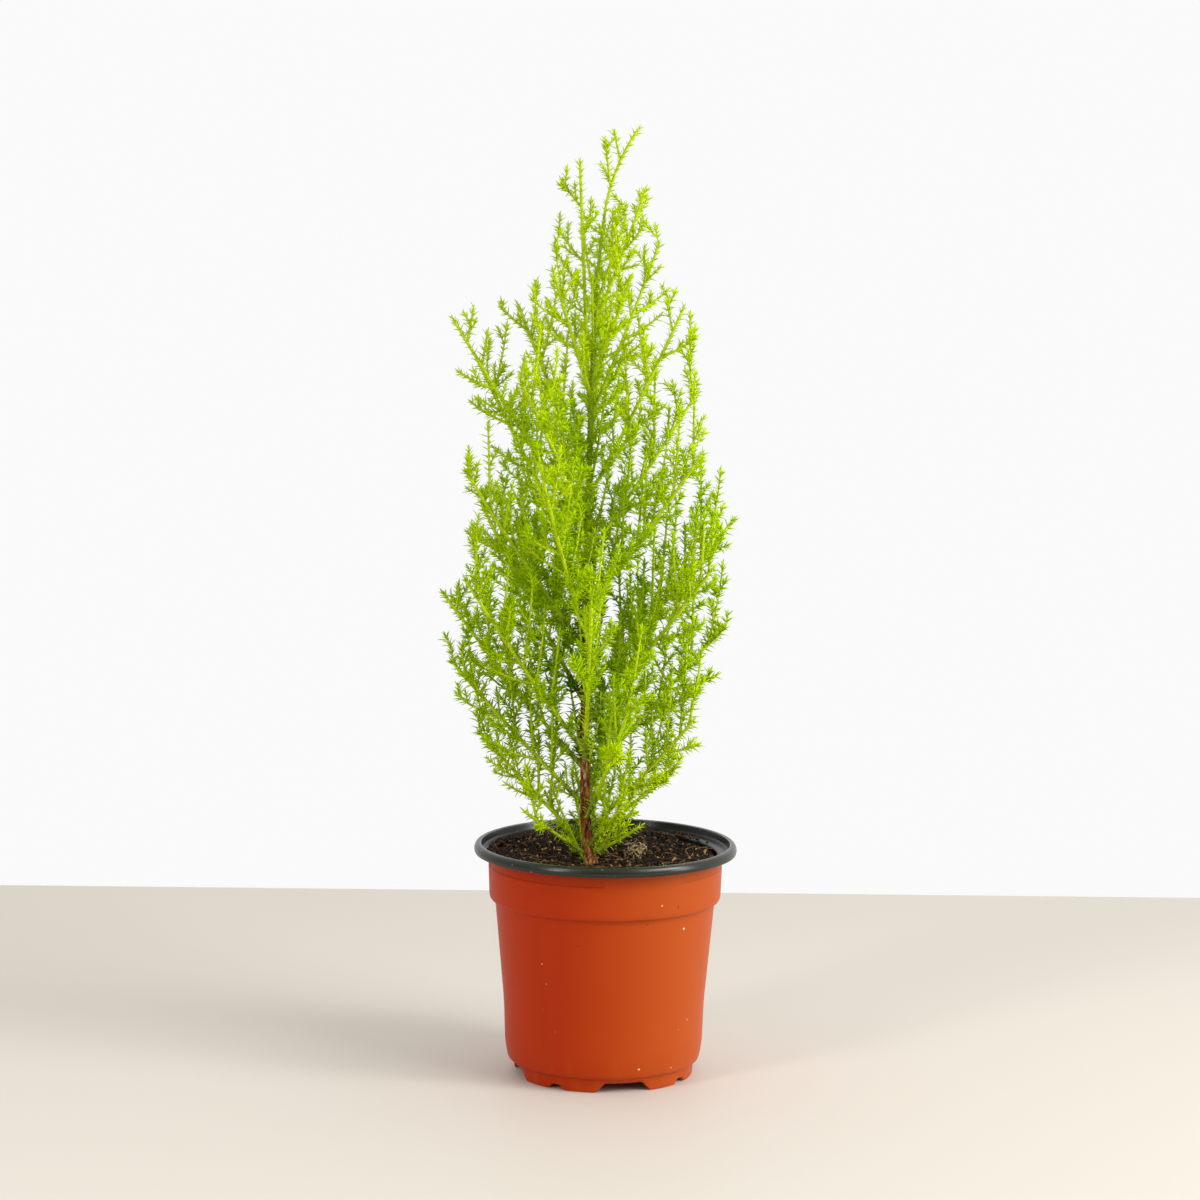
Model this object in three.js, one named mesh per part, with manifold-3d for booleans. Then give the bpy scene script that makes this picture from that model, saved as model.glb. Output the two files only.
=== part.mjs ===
// A potted goldcrest lemon cypress: a plastic nursery pot filled with peat, a slim trunk with a leader,
// ascending boughs, and one mass of needled twigs on each bough. Millimetres, +Z up.
// The origin is on the pot's axis, at the level that the pot stands on. The front is towards -Y.
import * as THREE from "three";
import { mergeVertices } from "three/addons/utils/BufferGeometryUtils.js";
import Module from "manifold-3d";

const wasm = await Module();
wasm.setup();

// Pot, from the rim down
const RIM_RADIUS = 65;
const POT_HEIGHT = 115.5;
const LIP_BOTTOM = 110.8;
const LIP_THICKNESS = 1.3;
const LIP_WIDTH = 3.6;
const BAND_RADIUS = 57.8;
const BAND_TOP = 109.8;
const BAND_BOTTOM = 91;
const WALL_TOP_RADIUS = 54.4;
const WALL_TOP = 87.2;
const KNEE_RADIUS = 49.6;
const KNEE = 36;
const WALL_FOOT_RADIUS = 49;
const WALL_FOOT = 18;
const BASE_RADIUS = 45.8;
const BASE_HEIGHT = 7.2;
const FOOT_RADIUS = 44.4;
const FOOT_WIDTH = 2.2;
const WALL = 1.5;
const EDGE = 0.5;
const FLOOR_LIFT = 4.6;
const PAD_RADIUS = 20;
const PAD_SLOPE = 3;
const ROUND_SEGMENTS = 32;

// Plant
const SOIL_LEVEL = 105;
const TRUNK_RADIUS = 2.7;
const LEADER_START = 424;
const PLANT_TOP = 468;
const LIMB_RADIUS = 1.5;
const FULL_LIMB = 130;
const BOUGH_LENGTH = 19;
const BOUGH_SHARE = 0.3;
const BOUGHS_BELOW = 221;
const TWIG_RADIUS = 0.75;
const TWIG_LENGTH = 38;
const TWIG_STEP = 13.5;
const TWIG_SPREAD = THREE.MathUtils.degToRad(44);
const TWIG_RISE = 0.35;
const TWIG_SHRINK = 0.55;
const SIDE_TURN = 2.1;
const NEEDLE_LENGTH = 9.2;
const NEEDLE_LEAN = THREE.MathUtils.degToRad(42);
const NEEDLE_STEP = 8.7;
const TIP_LENGTH = 5;
const BARE_LENGTH = 24;
const BARE_STEP = 16;
const BARE_SHARE = 0.42;
const GOLDEN_ANGLE = THREE.MathUtils.degToRad(137.5);
const GOLDEN_SHARE = 0.618;

// Clearance between pieces that touch on the real plant, and the finest step of a corner's place
const GAP = 0.3;
const GRID = 0.001;

const up = new THREE.Vector3(0, 0, 1);
const lerp = THREE.MathUtils.lerp;

// Seeded numbers, the same on every run
function seeded(seed) {
  let state = seed;
  return (low, high) => {
    state = (state * 1664525 + 1013904223) % 4294967296;
    return low + (high - low) * (state / 4294967296);
  };
}

// Solids from geometries, and back
function solidFrom(geometry) {
  const bare = geometry.clone();
  bare.deleteAttribute("normal");
  bare.deleteAttribute("uv");
  const merged = mergeVertices(bare, 1e-4);
  const vertProperties = merged.attributes.position.array;
  const triVerts = new Uint32Array(merged.index.array);
  return new wasm.Manifold(new wasm.Mesh({ numProp: 3, vertProperties, triVerts }));
}

function geometryFrom(solid) {
  const mesh = solid.getMesh();
  const geometry = new THREE.BufferGeometry();
  geometry.setAttribute("position", new THREE.BufferAttribute(mesh.vertProperties, 3));
  geometry.setIndex(new THREE.BufferAttribute(mesh.triVerts, 1));
  return geometry;
}

// The solid's surface with its corners on a fine grid and no sliver left, or null where that opens it
function settled(solid) {
  const geometry = geometryFrom(solid);
  const corners = geometry.attributes.position.array;
  corners.forEach((value, i) => (corners[i] = Math.round(value / GRID) * GRID));
  const merged = mergeVertices(geometry, GRID);
  const sides = [];
  for (let i = 0; i < merged.index.count; i += 3) {
    const [a, b, c] = merged.index.array.slice(i, i + 3);
    if (a !== b && b !== c && c !== a) sides.push(a, b, c);
  }
  merged.setIndex(sides);
  const pairs = new Set();
  for (let i = 0; i < sides.length; i += 3) {
    for (let k = 0; k < 3; k++) {
      const edge = `${sides[i + k]}>${sides[i + ((k + 1) % 3)]}`;
      if (pairs.has(edge)) return null;
      pairs.add(edge);
    }
  }
  const closed = [...pairs].every((edge) => pairs.has(edge.split(">").reverse().join(">")));
  return closed ? merged : null;
}

// A profile of radius and height, turned about the pot's axis
function turned(profile, segments = ROUND_SEGMENTS) {
  const geometry = new THREE.LatheGeometry(profile, segments);
  return geometry.rotateX(Math.PI / 2);
}

// Pot body: a thin shell with a raised floor, a centre pad, a castellated foot and a band under the rim
function potProfile() {
  const shell = new THREE.Path();
  const footInner = FOOT_RADIUS - FOOT_WIDTH;
  const floorTop = FLOOR_LIFT + WALL;
  shell.moveTo(0, 0);
  shell.lineTo(PAD_RADIUS, 0);
  shell.lineTo(PAD_RADIUS + PAD_SLOPE, FLOOR_LIFT);
  shell.lineTo(footInner - 2 * EDGE, FLOOR_LIFT);
  shell.lineTo(footInner, 0);
  shell.lineTo(FOOT_RADIUS - EDGE, 0);
  shell.lineTo(FOOT_RADIUS, EDGE);
  shell.lineTo(BASE_RADIUS - EDGE, BASE_HEIGHT - EDGE);
  shell.lineTo(BASE_RADIUS, BASE_HEIGHT);
  shell.quadraticCurveTo(WALL_FOOT_RADIUS - EDGE, BASE_HEIGHT + PAD_SLOPE, WALL_FOOT_RADIUS, WALL_FOOT);
  shell.lineTo(KNEE_RADIUS, KNEE);
  shell.lineTo(WALL_TOP_RADIUS, WALL_TOP);
  shell.quadraticCurveTo(BAND_RADIUS - EDGE, WALL_TOP, BAND_RADIUS - EDGE, BAND_BOTTOM);
  shell.lineTo(BAND_RADIUS, BAND_TOP);
  shell.lineTo(BAND_RADIUS - WALL, BAND_TOP);
  shell.lineTo(BAND_RADIUS - EDGE - WALL, BAND_BOTTOM + EDGE);
  shell.lineTo(WALL_TOP_RADIUS - WALL, WALL_TOP + EDGE);
  shell.lineTo(WALL_FOOT_RADIUS - WALL, WALL_FOOT);
  shell.lineTo(BASE_RADIUS - WALL / 2, BASE_HEIGHT + 4 * EDGE);
  shell.lineTo(footInner - FOOT_WIDTH, floorTop);
  shell.lineTo(PAD_RADIUS - WALL / 2 + PAD_SLOPE, floorTop);
  shell.lineTo(PAD_RADIUS - WALL / 2, WALL);
  shell.lineTo(0, WALL);
  return shell.getPoints(2);
}

// The foot is cut into feet: a wide and a narrow notch by turns, all round
const NOTCHES = 4;
const WIDE_NOTCH = { bottom: 29, top: 17, depth: 5.2, turn: 13.5 };
const NARROW_NOTCH = { bottom: 9, top: 4, depth: 2.4, turn: -31.5 };

function notchCutter({ bottom, top, depth, turn }) {
  const outline = new THREE.Shape();
  outline.moveTo(-bottom / 2 - EDGE, -EDGE);
  outline.lineTo(bottom / 2 + EDGE, -EDGE);
  outline.lineTo(top / 2, depth);
  outline.lineTo(-top / 2, depth);
  outline.closePath();
  const cutter = new THREE.ExtrudeGeometry(outline, { depth: 16, bevelEnabled: false });
  cutter.rotateX(Math.PI / 2);
  cutter.translate(0, -(FOOT_RADIUS - FOOT_WIDTH - 4), 0);
  return cutter.rotateZ(THREE.MathUtils.degToRad(turn));
}

// The band stands back a little just under the lip, except at three proud lugs
const LUGS = 3;
const LUG_ANGLE = 38;
const RECESS_DEPTH = 0.5;
const RECESS_HEIGHT = 5.4;

function recessCutter(turn) {
  const angle = THREE.MathUtils.degToRad(360 / LUGS - LUG_ANGLE);
  const arc = new THREE.Shape();
  arc.absarc(0, 0, BAND_RADIUS + 3, 0, angle, false);
  arc.absarc(0, 0, BAND_RADIUS - RECESS_DEPTH, angle, 0, true);
  const settings = { depth: RECESS_HEIGHT + 2, bevelEnabled: false, curveSegments: 9 };
  const cutter = new THREE.ExtrudeGeometry(arc, settings);
  cutter.translate(0, 0, BAND_TOP - RECESS_HEIGHT);
  return cutter.rotateZ(THREE.MathUtils.degToRad(turn - 90));
}

const DRAIN_HOLES = 8;
const DRAIN_RADIUS = 3.6;
const DRAIN_CIRCLE = 32;

function drainCutter(turn) {
  const hole = new THREE.CylinderGeometry(DRAIN_RADIUS, DRAIN_RADIUS, 12, 8);
  hole.rotateX(Math.PI / 2);
  hole.translate(0, -DRAIN_CIRCLE, FLOOR_LIFT);
  return hole.rotateZ(turn);
}

function makePotBody() {
  let body = solidFrom(turned(potProfile()));
  for (let i = 0; i < NOTCHES; i++) {
    const quarter = (i * 360) / NOTCHES;
    for (const notch of [WIDE_NOTCH, NARROW_NOTCH]) {
      body = body.subtract(solidFrom(notchCutter({ ...notch, turn: notch.turn + quarter })));
    }
  }
  for (let i = 0; i < LUGS; i++) {
    body = body.subtract(solidFrom(recessCutter(LUG_ANGLE + (i * 360) / LUGS)));
  }
  for (let i = 0; i < DRAIN_HOLES; i++) {
    body = body.subtract(solidFrom(drainCutter(((i + 0.5) * 2 * Math.PI) / DRAIN_HOLES)));
  }
  return fuse([body]);
}

// Rim: the black inner face of the sheet. Above the peat it steps out over the band as a level ledge,
// then stands up steeply to the lip and rolls over.
const SKIRT_BOTTOM = 99.5;
const SKIRT = 1;
const SKIRT_RADIUS = BAND_RADIUS - WALL - GAP;
const LIP_HOLLOW = 1.4;
const LIP_BELLY = 2.2;
const LEDGE_TOP = 111.5;
const LEDGE_FALL = 0.3;
const LIP_ROUND = 1.6;

function rimProfile() {
  const lip = new THREE.Path();
  const seat = BAND_TOP + GAP;
  const mouth = RIM_RADIUS - LIP_WIDTH;
  const shoulder = POT_HEIGHT - 2 * EDGE;
  const ledgeEnd = mouth - EDGE;
  lip.moveTo(SKIRT_RADIUS - EDGE, SKIRT_BOTTOM);
  lip.lineTo(SKIRT_RADIUS, BAND_TOP - 2 * EDGE);
  lip.lineTo(SKIRT_RADIUS, seat);
  lip.lineTo(BAND_RADIUS + EDGE, seat);
  lip.lineTo(ledgeEnd + SKIRT, seat + LEDGE_FALL);
  lip.lineTo(RIM_RADIUS - LIP_THICKNESS - 2 * EDGE, LIP_BOTTOM + LIP_HOLLOW);
  lip.lineTo(RIM_RADIUS - LIP_THICKNESS, LIP_BOTTOM);
  lip.lineTo(RIM_RADIUS - EDGE, LIP_BOTTOM);
  lip.quadraticCurveTo(RIM_RADIUS + 2 * EDGE, LIP_BOTTOM + LIP_BELLY, RIM_RADIUS - LIP_ROUND, shoulder);
  lip.quadraticCurveTo(mouth + EDGE, POT_HEIGHT + 2 * EDGE, mouth, shoulder);
  lip.lineTo(ledgeEnd, LEDGE_TOP);
  lip.lineTo(SKIRT_RADIUS + SKIRT, LEDGE_TOP - LEDGE_FALL);
  lip.lineTo(SKIRT_RADIUS - SKIRT, seat + EDGE);
  lip.lineTo(SKIRT_RADIUS - EDGE - SKIRT, SKIRT_BOTTOM);
  lip.closePath();
  return lip.getPoints(2);
}

// Peat: it fills the pot to the rim's ledge and dips towards the middle, where the trunk rises
const SOIL_SEGMENTS = 20;
const SOIL_FLAT = 16;
const SOIL_RISE = 4.2;
const SOIL_WAVE = 0.9;

function makeSoil() {
  const clear = WALL + 2 * GAP;
  const pad = PAD_RADIUS - WALL / 2 - 2 * GAP;
  const throat = SKIRT_RADIUS - EDGE - SKIRT - 2 * GAP;
  const fill = new THREE.Path();
  fill.moveTo(0, WALL + GAP);
  fill.lineTo(pad, WALL + GAP);
  fill.lineTo(pad + PAD_SLOPE, FLOOR_LIFT + WALL + GAP);
  fill.lineTo(FOOT_RADIUS - 2 * FOOT_WIDTH, FLOOR_LIFT + WALL + GAP);
  fill.lineTo(BASE_RADIUS - WALL, BASE_HEIGHT + PAD_SLOPE);
  fill.lineTo(WALL_FOOT_RADIUS - clear, WALL_FOOT);
  fill.lineTo(WALL_TOP_RADIUS - clear, WALL_TOP);
  fill.lineTo(throat, BAND_BOTTOM + 2 * EDGE);
  for (const radius of [throat, 0.8 * throat, 0.55 * throat, SOIL_FLAT, 0]) {
    const rise = SOIL_RISE * THREE.MathUtils.smoothstep(radius, SOIL_FLAT, throat);
    fill.lineTo(radius, SOIL_LEVEL - GAP + rise);
  }
  const geometry = turned(fill.getPoints(1), SOIL_SEGMENTS);
  const place = geometry.attributes.position;
  for (let i = 0; i < place.count; i++) {
    const x = place.getX(i);
    const y = place.getY(i);
    const z = place.getZ(i);
    const onTop = z > SOIL_LEVEL - 2 * GAP;
    const away = THREE.MathUtils.smoothstep(Math.hypot(x, y), SOIL_FLAT, 2 * SOIL_FLAT);
    if (onTop) place.setZ(i, z + SOIL_WAVE * away * Math.sin(0.11 * x + 1) * Math.cos(0.13 * y));
  }
  return geometry;
}

// Trunk: it leans a little to the left of the pot's axis, and its top bends right into the leader
const TRUNK_LINE = new THREE.CatmullRomCurve3([
  new THREE.Vector3(-6.6, -3.1, SOIL_LEVEL - 3),
  new THREE.Vector3(-9.4, -2.2, 119),
  new THREE.Vector3(-10.9, 0, 206),
  new THREE.Vector3(-10, 0.4, 300),
  new THREE.Vector3(-7.2, 0, 390),
  new THREE.Vector3(-3.8, 0, LEADER_START),
]);
const TRUNK_HEIGHT = LEADER_START - SOIL_LEVEL;
const TRUNK_TAPER = 0.72;
const ROOT_FLARE = 1.3;
const FLARE_HEIGHT = 9;

function trunkAt(height) {
  let low = 0;
  let high = 1;
  for (let i = 0; i < 24; i++) {
    const middle = (low + high) / 2;
    if (TRUNK_LINE.getPoint(middle).z < height) low = middle;
    else high = middle;
  }
  return TRUNK_LINE.getPoint(low);
}

function trunkRadius(height) {
  const share = (height - SOIL_LEVEL) / TRUNK_HEIGHT;
  const flare = ROOT_FLARE * Math.exp(-(height - SOIL_LEVEL) / FLARE_HEIGHT);
  return TRUNK_RADIUS * (1 - TRUNK_TAPER * share) + flare;
}

const RING_SPIN = 0.6;
const LOBE_BULGE = 0.13;

// A closed body swept along a curve, with a flat root and either a flat or a pointed end.
// Each side between two stations stays flat, or is drawn out to a point where needleAt gives one.
function sweep(curve, { shares, radiusAt, sides, across, pointed, needleAt, lobes = 0 }) {
  const positions = [];
  const triangles = [];
  const rings = shares.map((share, level) => {
    const centre = curve.getPointAt(share);
    const along = curve.getTangentAt(share);
    const normal = new THREE.Vector3().crossVectors(across, along).normalize();
    const binormal = new THREE.Vector3().crossVectors(along, normal);
    const spin = sides === 3 ? level * RING_SPIN : 0;
    const ring = [];
    for (let i = 0; i < sides; i++) {
      const angle = spin + (i * 2 * Math.PI) / sides;
      const bulge = lobes && level < 2 ? 1 + LOBE_BULGE * Math.cos(lobes * angle) : 1;
      const reach = radiusAt(share) * bulge;
      const point = centre.clone();
      point.addScaledVector(normal, reach * Math.cos(angle));
      point.addScaledVector(binormal, reach * Math.sin(angle));
      ring.push(addPoint(point));
    }
    return { centre, along, ring };
  });
  function addPoint(point) {
    positions.push(point.x, point.y, point.z);
    return positions.length / 3 - 1;
  }
  function pointOf(index) {
    return new THREE.Vector3().fromArray(positions, index * 3);
  }
  for (let level = 0; level + 1 < rings.length; level++) {
    const lower = rings[level];
    const upper = rings[level + 1];
    for (let i = 0; i < sides; i++) {
      const j = (i + 1) % sides;
      const corners = [lower.ring[i], lower.ring[j], upper.ring[j], upper.ring[i]];
      const middle = new THREE.Vector3();
      corners.forEach((corner) => middle.addScaledVector(pointOf(corner), 0.25));
      const axis = lower.centre.clone().lerp(upper.centre, 0.5);
      const needle = needleAt && needleAt(middle, axis, lower.along, shares[level]);
      if (needle) {
        const tip = addPoint(needle);
        corners.forEach((corner, k) => triangles.push(corner, corners[(k + 1) % 4], tip));
      } else {
        triangles.push(corners[0], corners[1], corners[2], corners[0], corners[2], corners[3]);
      }
    }
  }
  const first = rings[0].ring;
  const last = rings[rings.length - 1];
  for (let i = 1; i + 1 < sides; i++) triangles.push(first[0], first[i + 1], first[i]);
  if (pointed) {
    const tip = addPoint(last.centre.clone().addScaledVector(last.along, pointed));
    last.ring.forEach((corner, i) => triangles.push(corner, last.ring[(i + 1) % sides], tip));
  } else {
    for (let i = 1; i + 1 < sides; i++) triangles.push(last.ring[0], last.ring[i], last.ring[i + 1]);
  }
  const geometry = new THREE.BufferGeometry();
  geometry.setAttribute("position", new THREE.Float32BufferAttribute(positions, 3));
  geometry.setIndex(triangles);
  return geometry;
}

function evenShares(count, from = 0, to = 1) {
  return Array.from({ length: count + 1 }, (_, i) => lerp(from, to, i / count));
}

// The trunk's foot is cut flat at the level of the peat
const TRUNK_STEPS = 11;
const FLARE_SHARE = 0.11;
const CUT_SIDE = 40;
const CUT_DEPTH = 10;

function makeTrunk(extra) {
  const flared = [0, 0.02, 0.05];
  const log = sweep(TRUNK_LINE, {
    shares: [...flared, ...evenShares(TRUNK_STEPS, FLARE_SHARE, 1)],
    radiusAt: (share) => trunkRadius(TRUNK_LINE.getPointAt(share).z) + extra,
    sides: 10,
    across: new THREE.Vector3(0, 1, 0),
    lobes: 3,
  });
  const below = new THREE.BoxGeometry(CUT_SIDE, CUT_SIDE, CUT_DEPTH);
  below.translate(0, 0, SOIL_LEVEL - CUT_DEPTH / 2);
  return solidFrom(log).subtract(solidFrom(below));
}

// Crown: how far it reaches from the trunk at each height
const CROWN = [
  [SOIL_LEVEL, 18],
  [135, 36],
  [170, 56],
  [235, 73],
  [285, 69],
  [340, 59],
  [378, 56],
  [400, 36],
  [440, 24],
  [PLANT_TOP, 12],
];

function crownRadius(height) {
  const above = CROWN.findIndex(([level]) => level >= height);
  if (above < 1) return CROWN[above < 0 ? CROWN.length - 1 : 0][1];
  const [lowLevel, lowRadius] = CROWN[above - 1];
  const [highLevel, highRadius] = CROWN[above];
  return lerp(lowRadius, highRadius, (height - lowLevel) / (highLevel - lowLevel));
}

// Limbs whose tips make the outline from the front: how far right of the pot's axis each tip is,
// how high, and how much lower the limb leaves the trunk. They stand to the front and back by turns.
const OUTLINE_LIMBS = [
  [-42, 136, 27],
  [20, 128, 20],
  [37, 156, 44],
  [-65, 170, 56],
  [44, 183, 62],
  [-78, 208, 74],
  [-83, 240, 88],
  [58, 224, 76],
  [-70, 253, 92],
  [52, 259, 84],
  [63, 278, 86],
  [-65, 281, 96],
  [-71, 304, 92],
  [46, 314, 82],
  [45, 340, 82],
  [-66, 355, 104],
  [-78, 376, 104],
  [36, 384, 98],
  [-47, 381, 84],
  [24, 412, 86],
  [-29, 402, 66],
  [17, 440, 70],
  [-16, 452, 132],
];

// Limbs that the front view doesn't part from the rest, to the front and back of the trunk by turns
const DEPTH_LIMBS = 12;
const DEPTH_LOWEST = 142;
const DEPTH_HIGHEST = 424;
const DEPTH_SPREAD = 0.75;
const DEPTH_RISE = 24;
const DEPTH_STEEPNESS = 0.95;
const LEAST_DEPTH = Math.sqrt(30);
const LIMB_SPACE = 4.2;
const LIFTS = [0, 4, 8, 12, 16];
const TURNS = [0, 0.15, -0.15, 0.3, -0.3, 0.45, -0.45, 0.6, -0.6];

// A limb leaves the trunk well below its tip and turns up on its way out, most where it reaches far
const LOWEST_ROOT = SOIL_LEVEL + 4;
const SHORT_SAG = 0.4;
const LONG_SAG = 0.1;
const LINE_START = 3.5;
const LINE_STEPS = 14;

function limbTo(tip, rise, lift) {
  const root = trunkAt(Math.max(tip.z - rise, LOWEST_ROOT) + lift);
  const bend = root.clone().lerp(tip, 0.5);
  const fullness = tip.clone().sub(root).setZ(0).length() / crownRadius(tip.z);
  const sag = lerp(SHORT_SAG, LONG_SAG, THREE.MathUtils.clamp(fullness, 0, 1));
  bend.z = lerp(bend.z, root.z, sag);
  const curve = new THREE.QuadraticBezierCurve3(root, bend, tip);
  const shares = evenShares(LINE_STEPS, LINE_START / curve.getLength(), 1);
  const line = shares.map((share) => curve.getPointAt(share));
  return { root, tip, curve, line };
}

function crownPoint(height, round, angle) {
  const axis = trunkAt(height);
  return new THREE.Vector3(axis.x + round * Math.sin(angle), axis.y + round * Math.cos(angle), height);
}

// Each limb is tried at slightly changed roots and turns until it passes clear of those before it
function planLimbs() {
  const random = seeded(20);
  const planned = [];
  function place(tries) {
    const free = tries.find(({ line }) =>
      planned.every((other) => line.every((point) => distanceToLine(point, other.line) > LIMB_SPACE)),
    );
    planned.push(free || tries[0]);
  }
  OUTLINE_LIMBS.forEach(([x, height, rise], i) => {
    const axis = trunkAt(height);
    const depth = Math.sqrt(Math.max(crownRadius(height) ** 2 - (x - axis.x) ** 2, LEAST_DEPTH ** 2));
    const facing = i % 4 < 2 ? -1 : 1;
    const tip = new THREE.Vector3(x, axis.y + facing * depth, height);
    place(LIFTS.map((lift) => limbTo(tip, rise, lift)));
  });
  for (let i = 0; i < DEPTH_LIMBS; i++) {
    const height = lerp(DEPTH_LOWEST, DEPTH_HIGHEST, i / (DEPTH_LIMBS - 1));
    const round = crownRadius(height) * random(0.86, 0.98);
    const facing = i % 2 ? 0 : Math.PI;
    const angle = facing + lerp(-DEPTH_SPREAD, DEPTH_SPREAD, (i * GOLDEN_SHARE) % 1);
    const rise = DEPTH_RISE + DEPTH_STEEPNESS * round;
    const tips = TURNS.map((turn) => crownPoint(height, round, angle + turn));
    place(tips.flatMap((tip) => LIFTS.map((lift) => limbTo(tip, rise, lift))));
  }
  return planned.sort((a, b) => a.root.z - b.root.z);
}

// The part of a curve between two shares of its length, as a curve of its own
function stretch(curve, from, to) {
  const start = curve.getPointAt(from);
  const end = curve.getPointAt(to);
  const middle = curve.getPointAt((from + to) / 2);
  const bend = middle.multiplyScalar(2).addScaledVector(start, -0.5).addScaledVector(end, -0.5);
  return new THREE.QuadraticBezierCurve3(start, bend, end);
}

// The direction that stays across a bent curve all along it
function acrossOf(curve) {
  const first = curve.getTangentAt(0);
  const last = curve.getTangentAt(1);
  const across = new THREE.Vector3().crossVectors(first, last);
  const straight = across.length() < 0.02;
  if (straight) across.crossVectors(first, Math.abs(first.z) < 0.9 ? up : new THREE.Vector3(1, 0, 0));
  return across.normalize();
}

function distanceToLine(point, line) {
  let least = Infinity;
  const nearest = new THREE.Vector3();
  for (let i = 0; i + 1 < line.length; i++) {
    new THREE.Line3(line[i], line[i + 1]).closestPointToPoint(point, true, nearest);
    least = Math.min(least, nearest.distanceTo(point));
  }
  return least;
}

const limbs = planLimbs();
const grownTrunk = makeTrunk(GAP);
for (const limb of limbs) {
  limb.across = acrossOf(limb.curve);
  limb.length = limb.curve.getLength();
  limb.hasBough = limb.root.z < BOUGHS_BELOW;
  limb.split = limb.hasBough ? Math.min(BOUGH_LENGTH / limb.length, BOUGH_SHARE) : 0;
  const start = limb.hasBough ? limb.split + GAP / limb.length : 0;
  limb.stem = stretch(limb.curve, start, 1);
  limb.stemLine = limb.stem.getSpacedPoints(12);
  limb.boughLine = evenShares(4, 0, limb.split).map((share) => limb.curve.getPointAt(share));
  const thick = LIMB_RADIUS * Math.min(1, lerp(0.7, 1, limb.length / FULL_LIMB));
  limb.radiusAt = (share) => lerp(thick, TWIG_RADIUS * 0.8, Math.min(share * 1.2, 1));
}

// The leader: the trunk's own top, grown on from its tip
const LEADER_LEAN = 0.5;
const LEADER_REACH = 14.4;
const leaderCurve = new THREE.QuadraticBezierCurve3(
  trunkAt(LEADER_START).addScaledVector(up, GAP),
  new THREE.Vector3(LEADER_LEAN, 0, lerp(LEADER_START, PLANT_TOP, 0.6)),
  new THREE.Vector3(LEADER_REACH, 0, PLANT_TOP),
);
const leader = {
  stem: leaderCurve,
  stemLine: leaderCurve.getSpacedPoints(8),
  across: acrossOf(leaderCurve),
  hasBough: true,
  split: 0,
  radiusAt: (share) => lerp(trunkRadius(LEADER_START), TWIG_RADIUS * 0.7, share),
};

function makeBough(limb) {
  const body = sweep(limb.curve, {
    shares: evenShares(3, 0, limb.split),
    radiusAt: limb.radiusAt,
    sides: 6,
    across: limb.across,
  });
  return solidFrom(body).subtract(grownTrunk);
}

// A mass keeps to the room that is nearer to its own stem than to any other, inside the crown and
// clear of the trunk, the boughs and the peat
const trunkLine = TRUNK_LINE.getSpacedPoints(24);
const ROOM_MARGIN = 0.6;
const CROWN_MARGIN = 3;
const SOIL_CLEAR = 2.5;

function fromAxis(point) {
  const axis = trunkAt(point.z);
  return Math.hypot(point.x - axis.x, point.y - axis.y);
}

function roomOf(owner) {
  const others = [...limbs, leader].filter((limb) => limb !== owner);
  const withBoughs = limbs.filter((limb) => limb.hasBough);
  const ownReach = fromAxis(owner.stem.getPoint(1));
  return (point, reach) => {
    if (point.z > PLANT_TOP || point.z < SOIL_LEVEL + SOIL_CLEAR + reach) return false;
    if (fromAxis(point) > Math.max(crownRadius(point.z), ownReach) + CROWN_MARGIN) return false;
    if (distanceToLine(point, trunkLine) < trunkRadius(point.z) + reach + GAP) return false;
    const own = distanceToLine(point, owner.stemLine);
    const nearer = others.every((other) => distanceToLine(point, other.stemLine) > own + ROOM_MARGIN);
    const free = LIMB_RADIUS + reach + GAP;
    return nearer && withBoughs.every((limb) => distanceToLine(point, limb.boughLine) > free);
  };
}

// A side of a shoot is drawn out to a needle where the needle's tip stays in the mass's room
function needleRule(inRoom, from) {
  return (middle, axis, along, share) => {
    if (share < from) return null;
    const outward = middle.clone().sub(axis).normalize();
    const heading = along.clone().multiplyScalar(Math.cos(NEEDLE_LEAN));
    heading.addScaledVector(outward, Math.sin(NEEDLE_LEAN));
    const tip = middle.clone().addScaledVector(heading, NEEDLE_LENGTH);
    return inRoom(tip, 0) ? tip : null;
  };
}

function makeStem({ limb, inRoom, length }) {
  const bare = Math.min(BARE_SHARE, BARE_LENGTH / length);
  const end = 1 - TIP_LENGTH / length;
  const bareSteps = Math.max(1, Math.round((bare * length) / BARE_STEP));
  const needled = Math.max(3, Math.round(((end - bare) * length) / NEEDLE_STEP));
  return sweep(limb.stem, {
    shares: [...evenShares(bareSteps, 0, bare), ...evenShares(needled, bare, end).slice(1)],
    radiusAt: (share) => limb.radiusAt(limb.split + share * (1 - limb.split)),
    sides: 3,
    across: limb.across,
    pointed: TIP_LENGTH,
    needleAt: needleRule(inRoom, bare),
  });
}

function makeTwig(root, heading, reach, inRoom) {
  const lift = heading.clone().lerp(up, TWIG_RISE).normalize();
  const bend = root.clone().addScaledVector(heading, reach * 0.5);
  const tip = bend.clone().addScaledVector(lift, reach * 0.5);
  const curve = new THREE.QuadraticBezierCurve3(root, bend, tip);
  const probes = curve.getSpacedPoints(6).slice(2);
  if (!probes.every((point) => inRoom(point, TWIG_RADIUS))) return null;
  const steps = Math.max(2, Math.round(reach / NEEDLE_STEP));
  return sweep(curve, {
    shares: evenShares(steps, 0, 1 - TIP_LENGTH / reach),
    radiusAt: (share) => TWIG_RADIUS * lerp(1, 0.6, share),
    sides: 3,
    across: acrossOf(curve),
    pointed: TIP_LENGTH,
    needleAt: needleRule(inRoom, 0.5 / steps),
  });
}

// Twigs leave the stem one after another, each turned on by the golden angle, shorter towards the tip.
// Where a twig has no room, shorter ones and others round the stem are tried.
const REACH_SHARES = [1, 0.75, 0.5];

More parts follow.
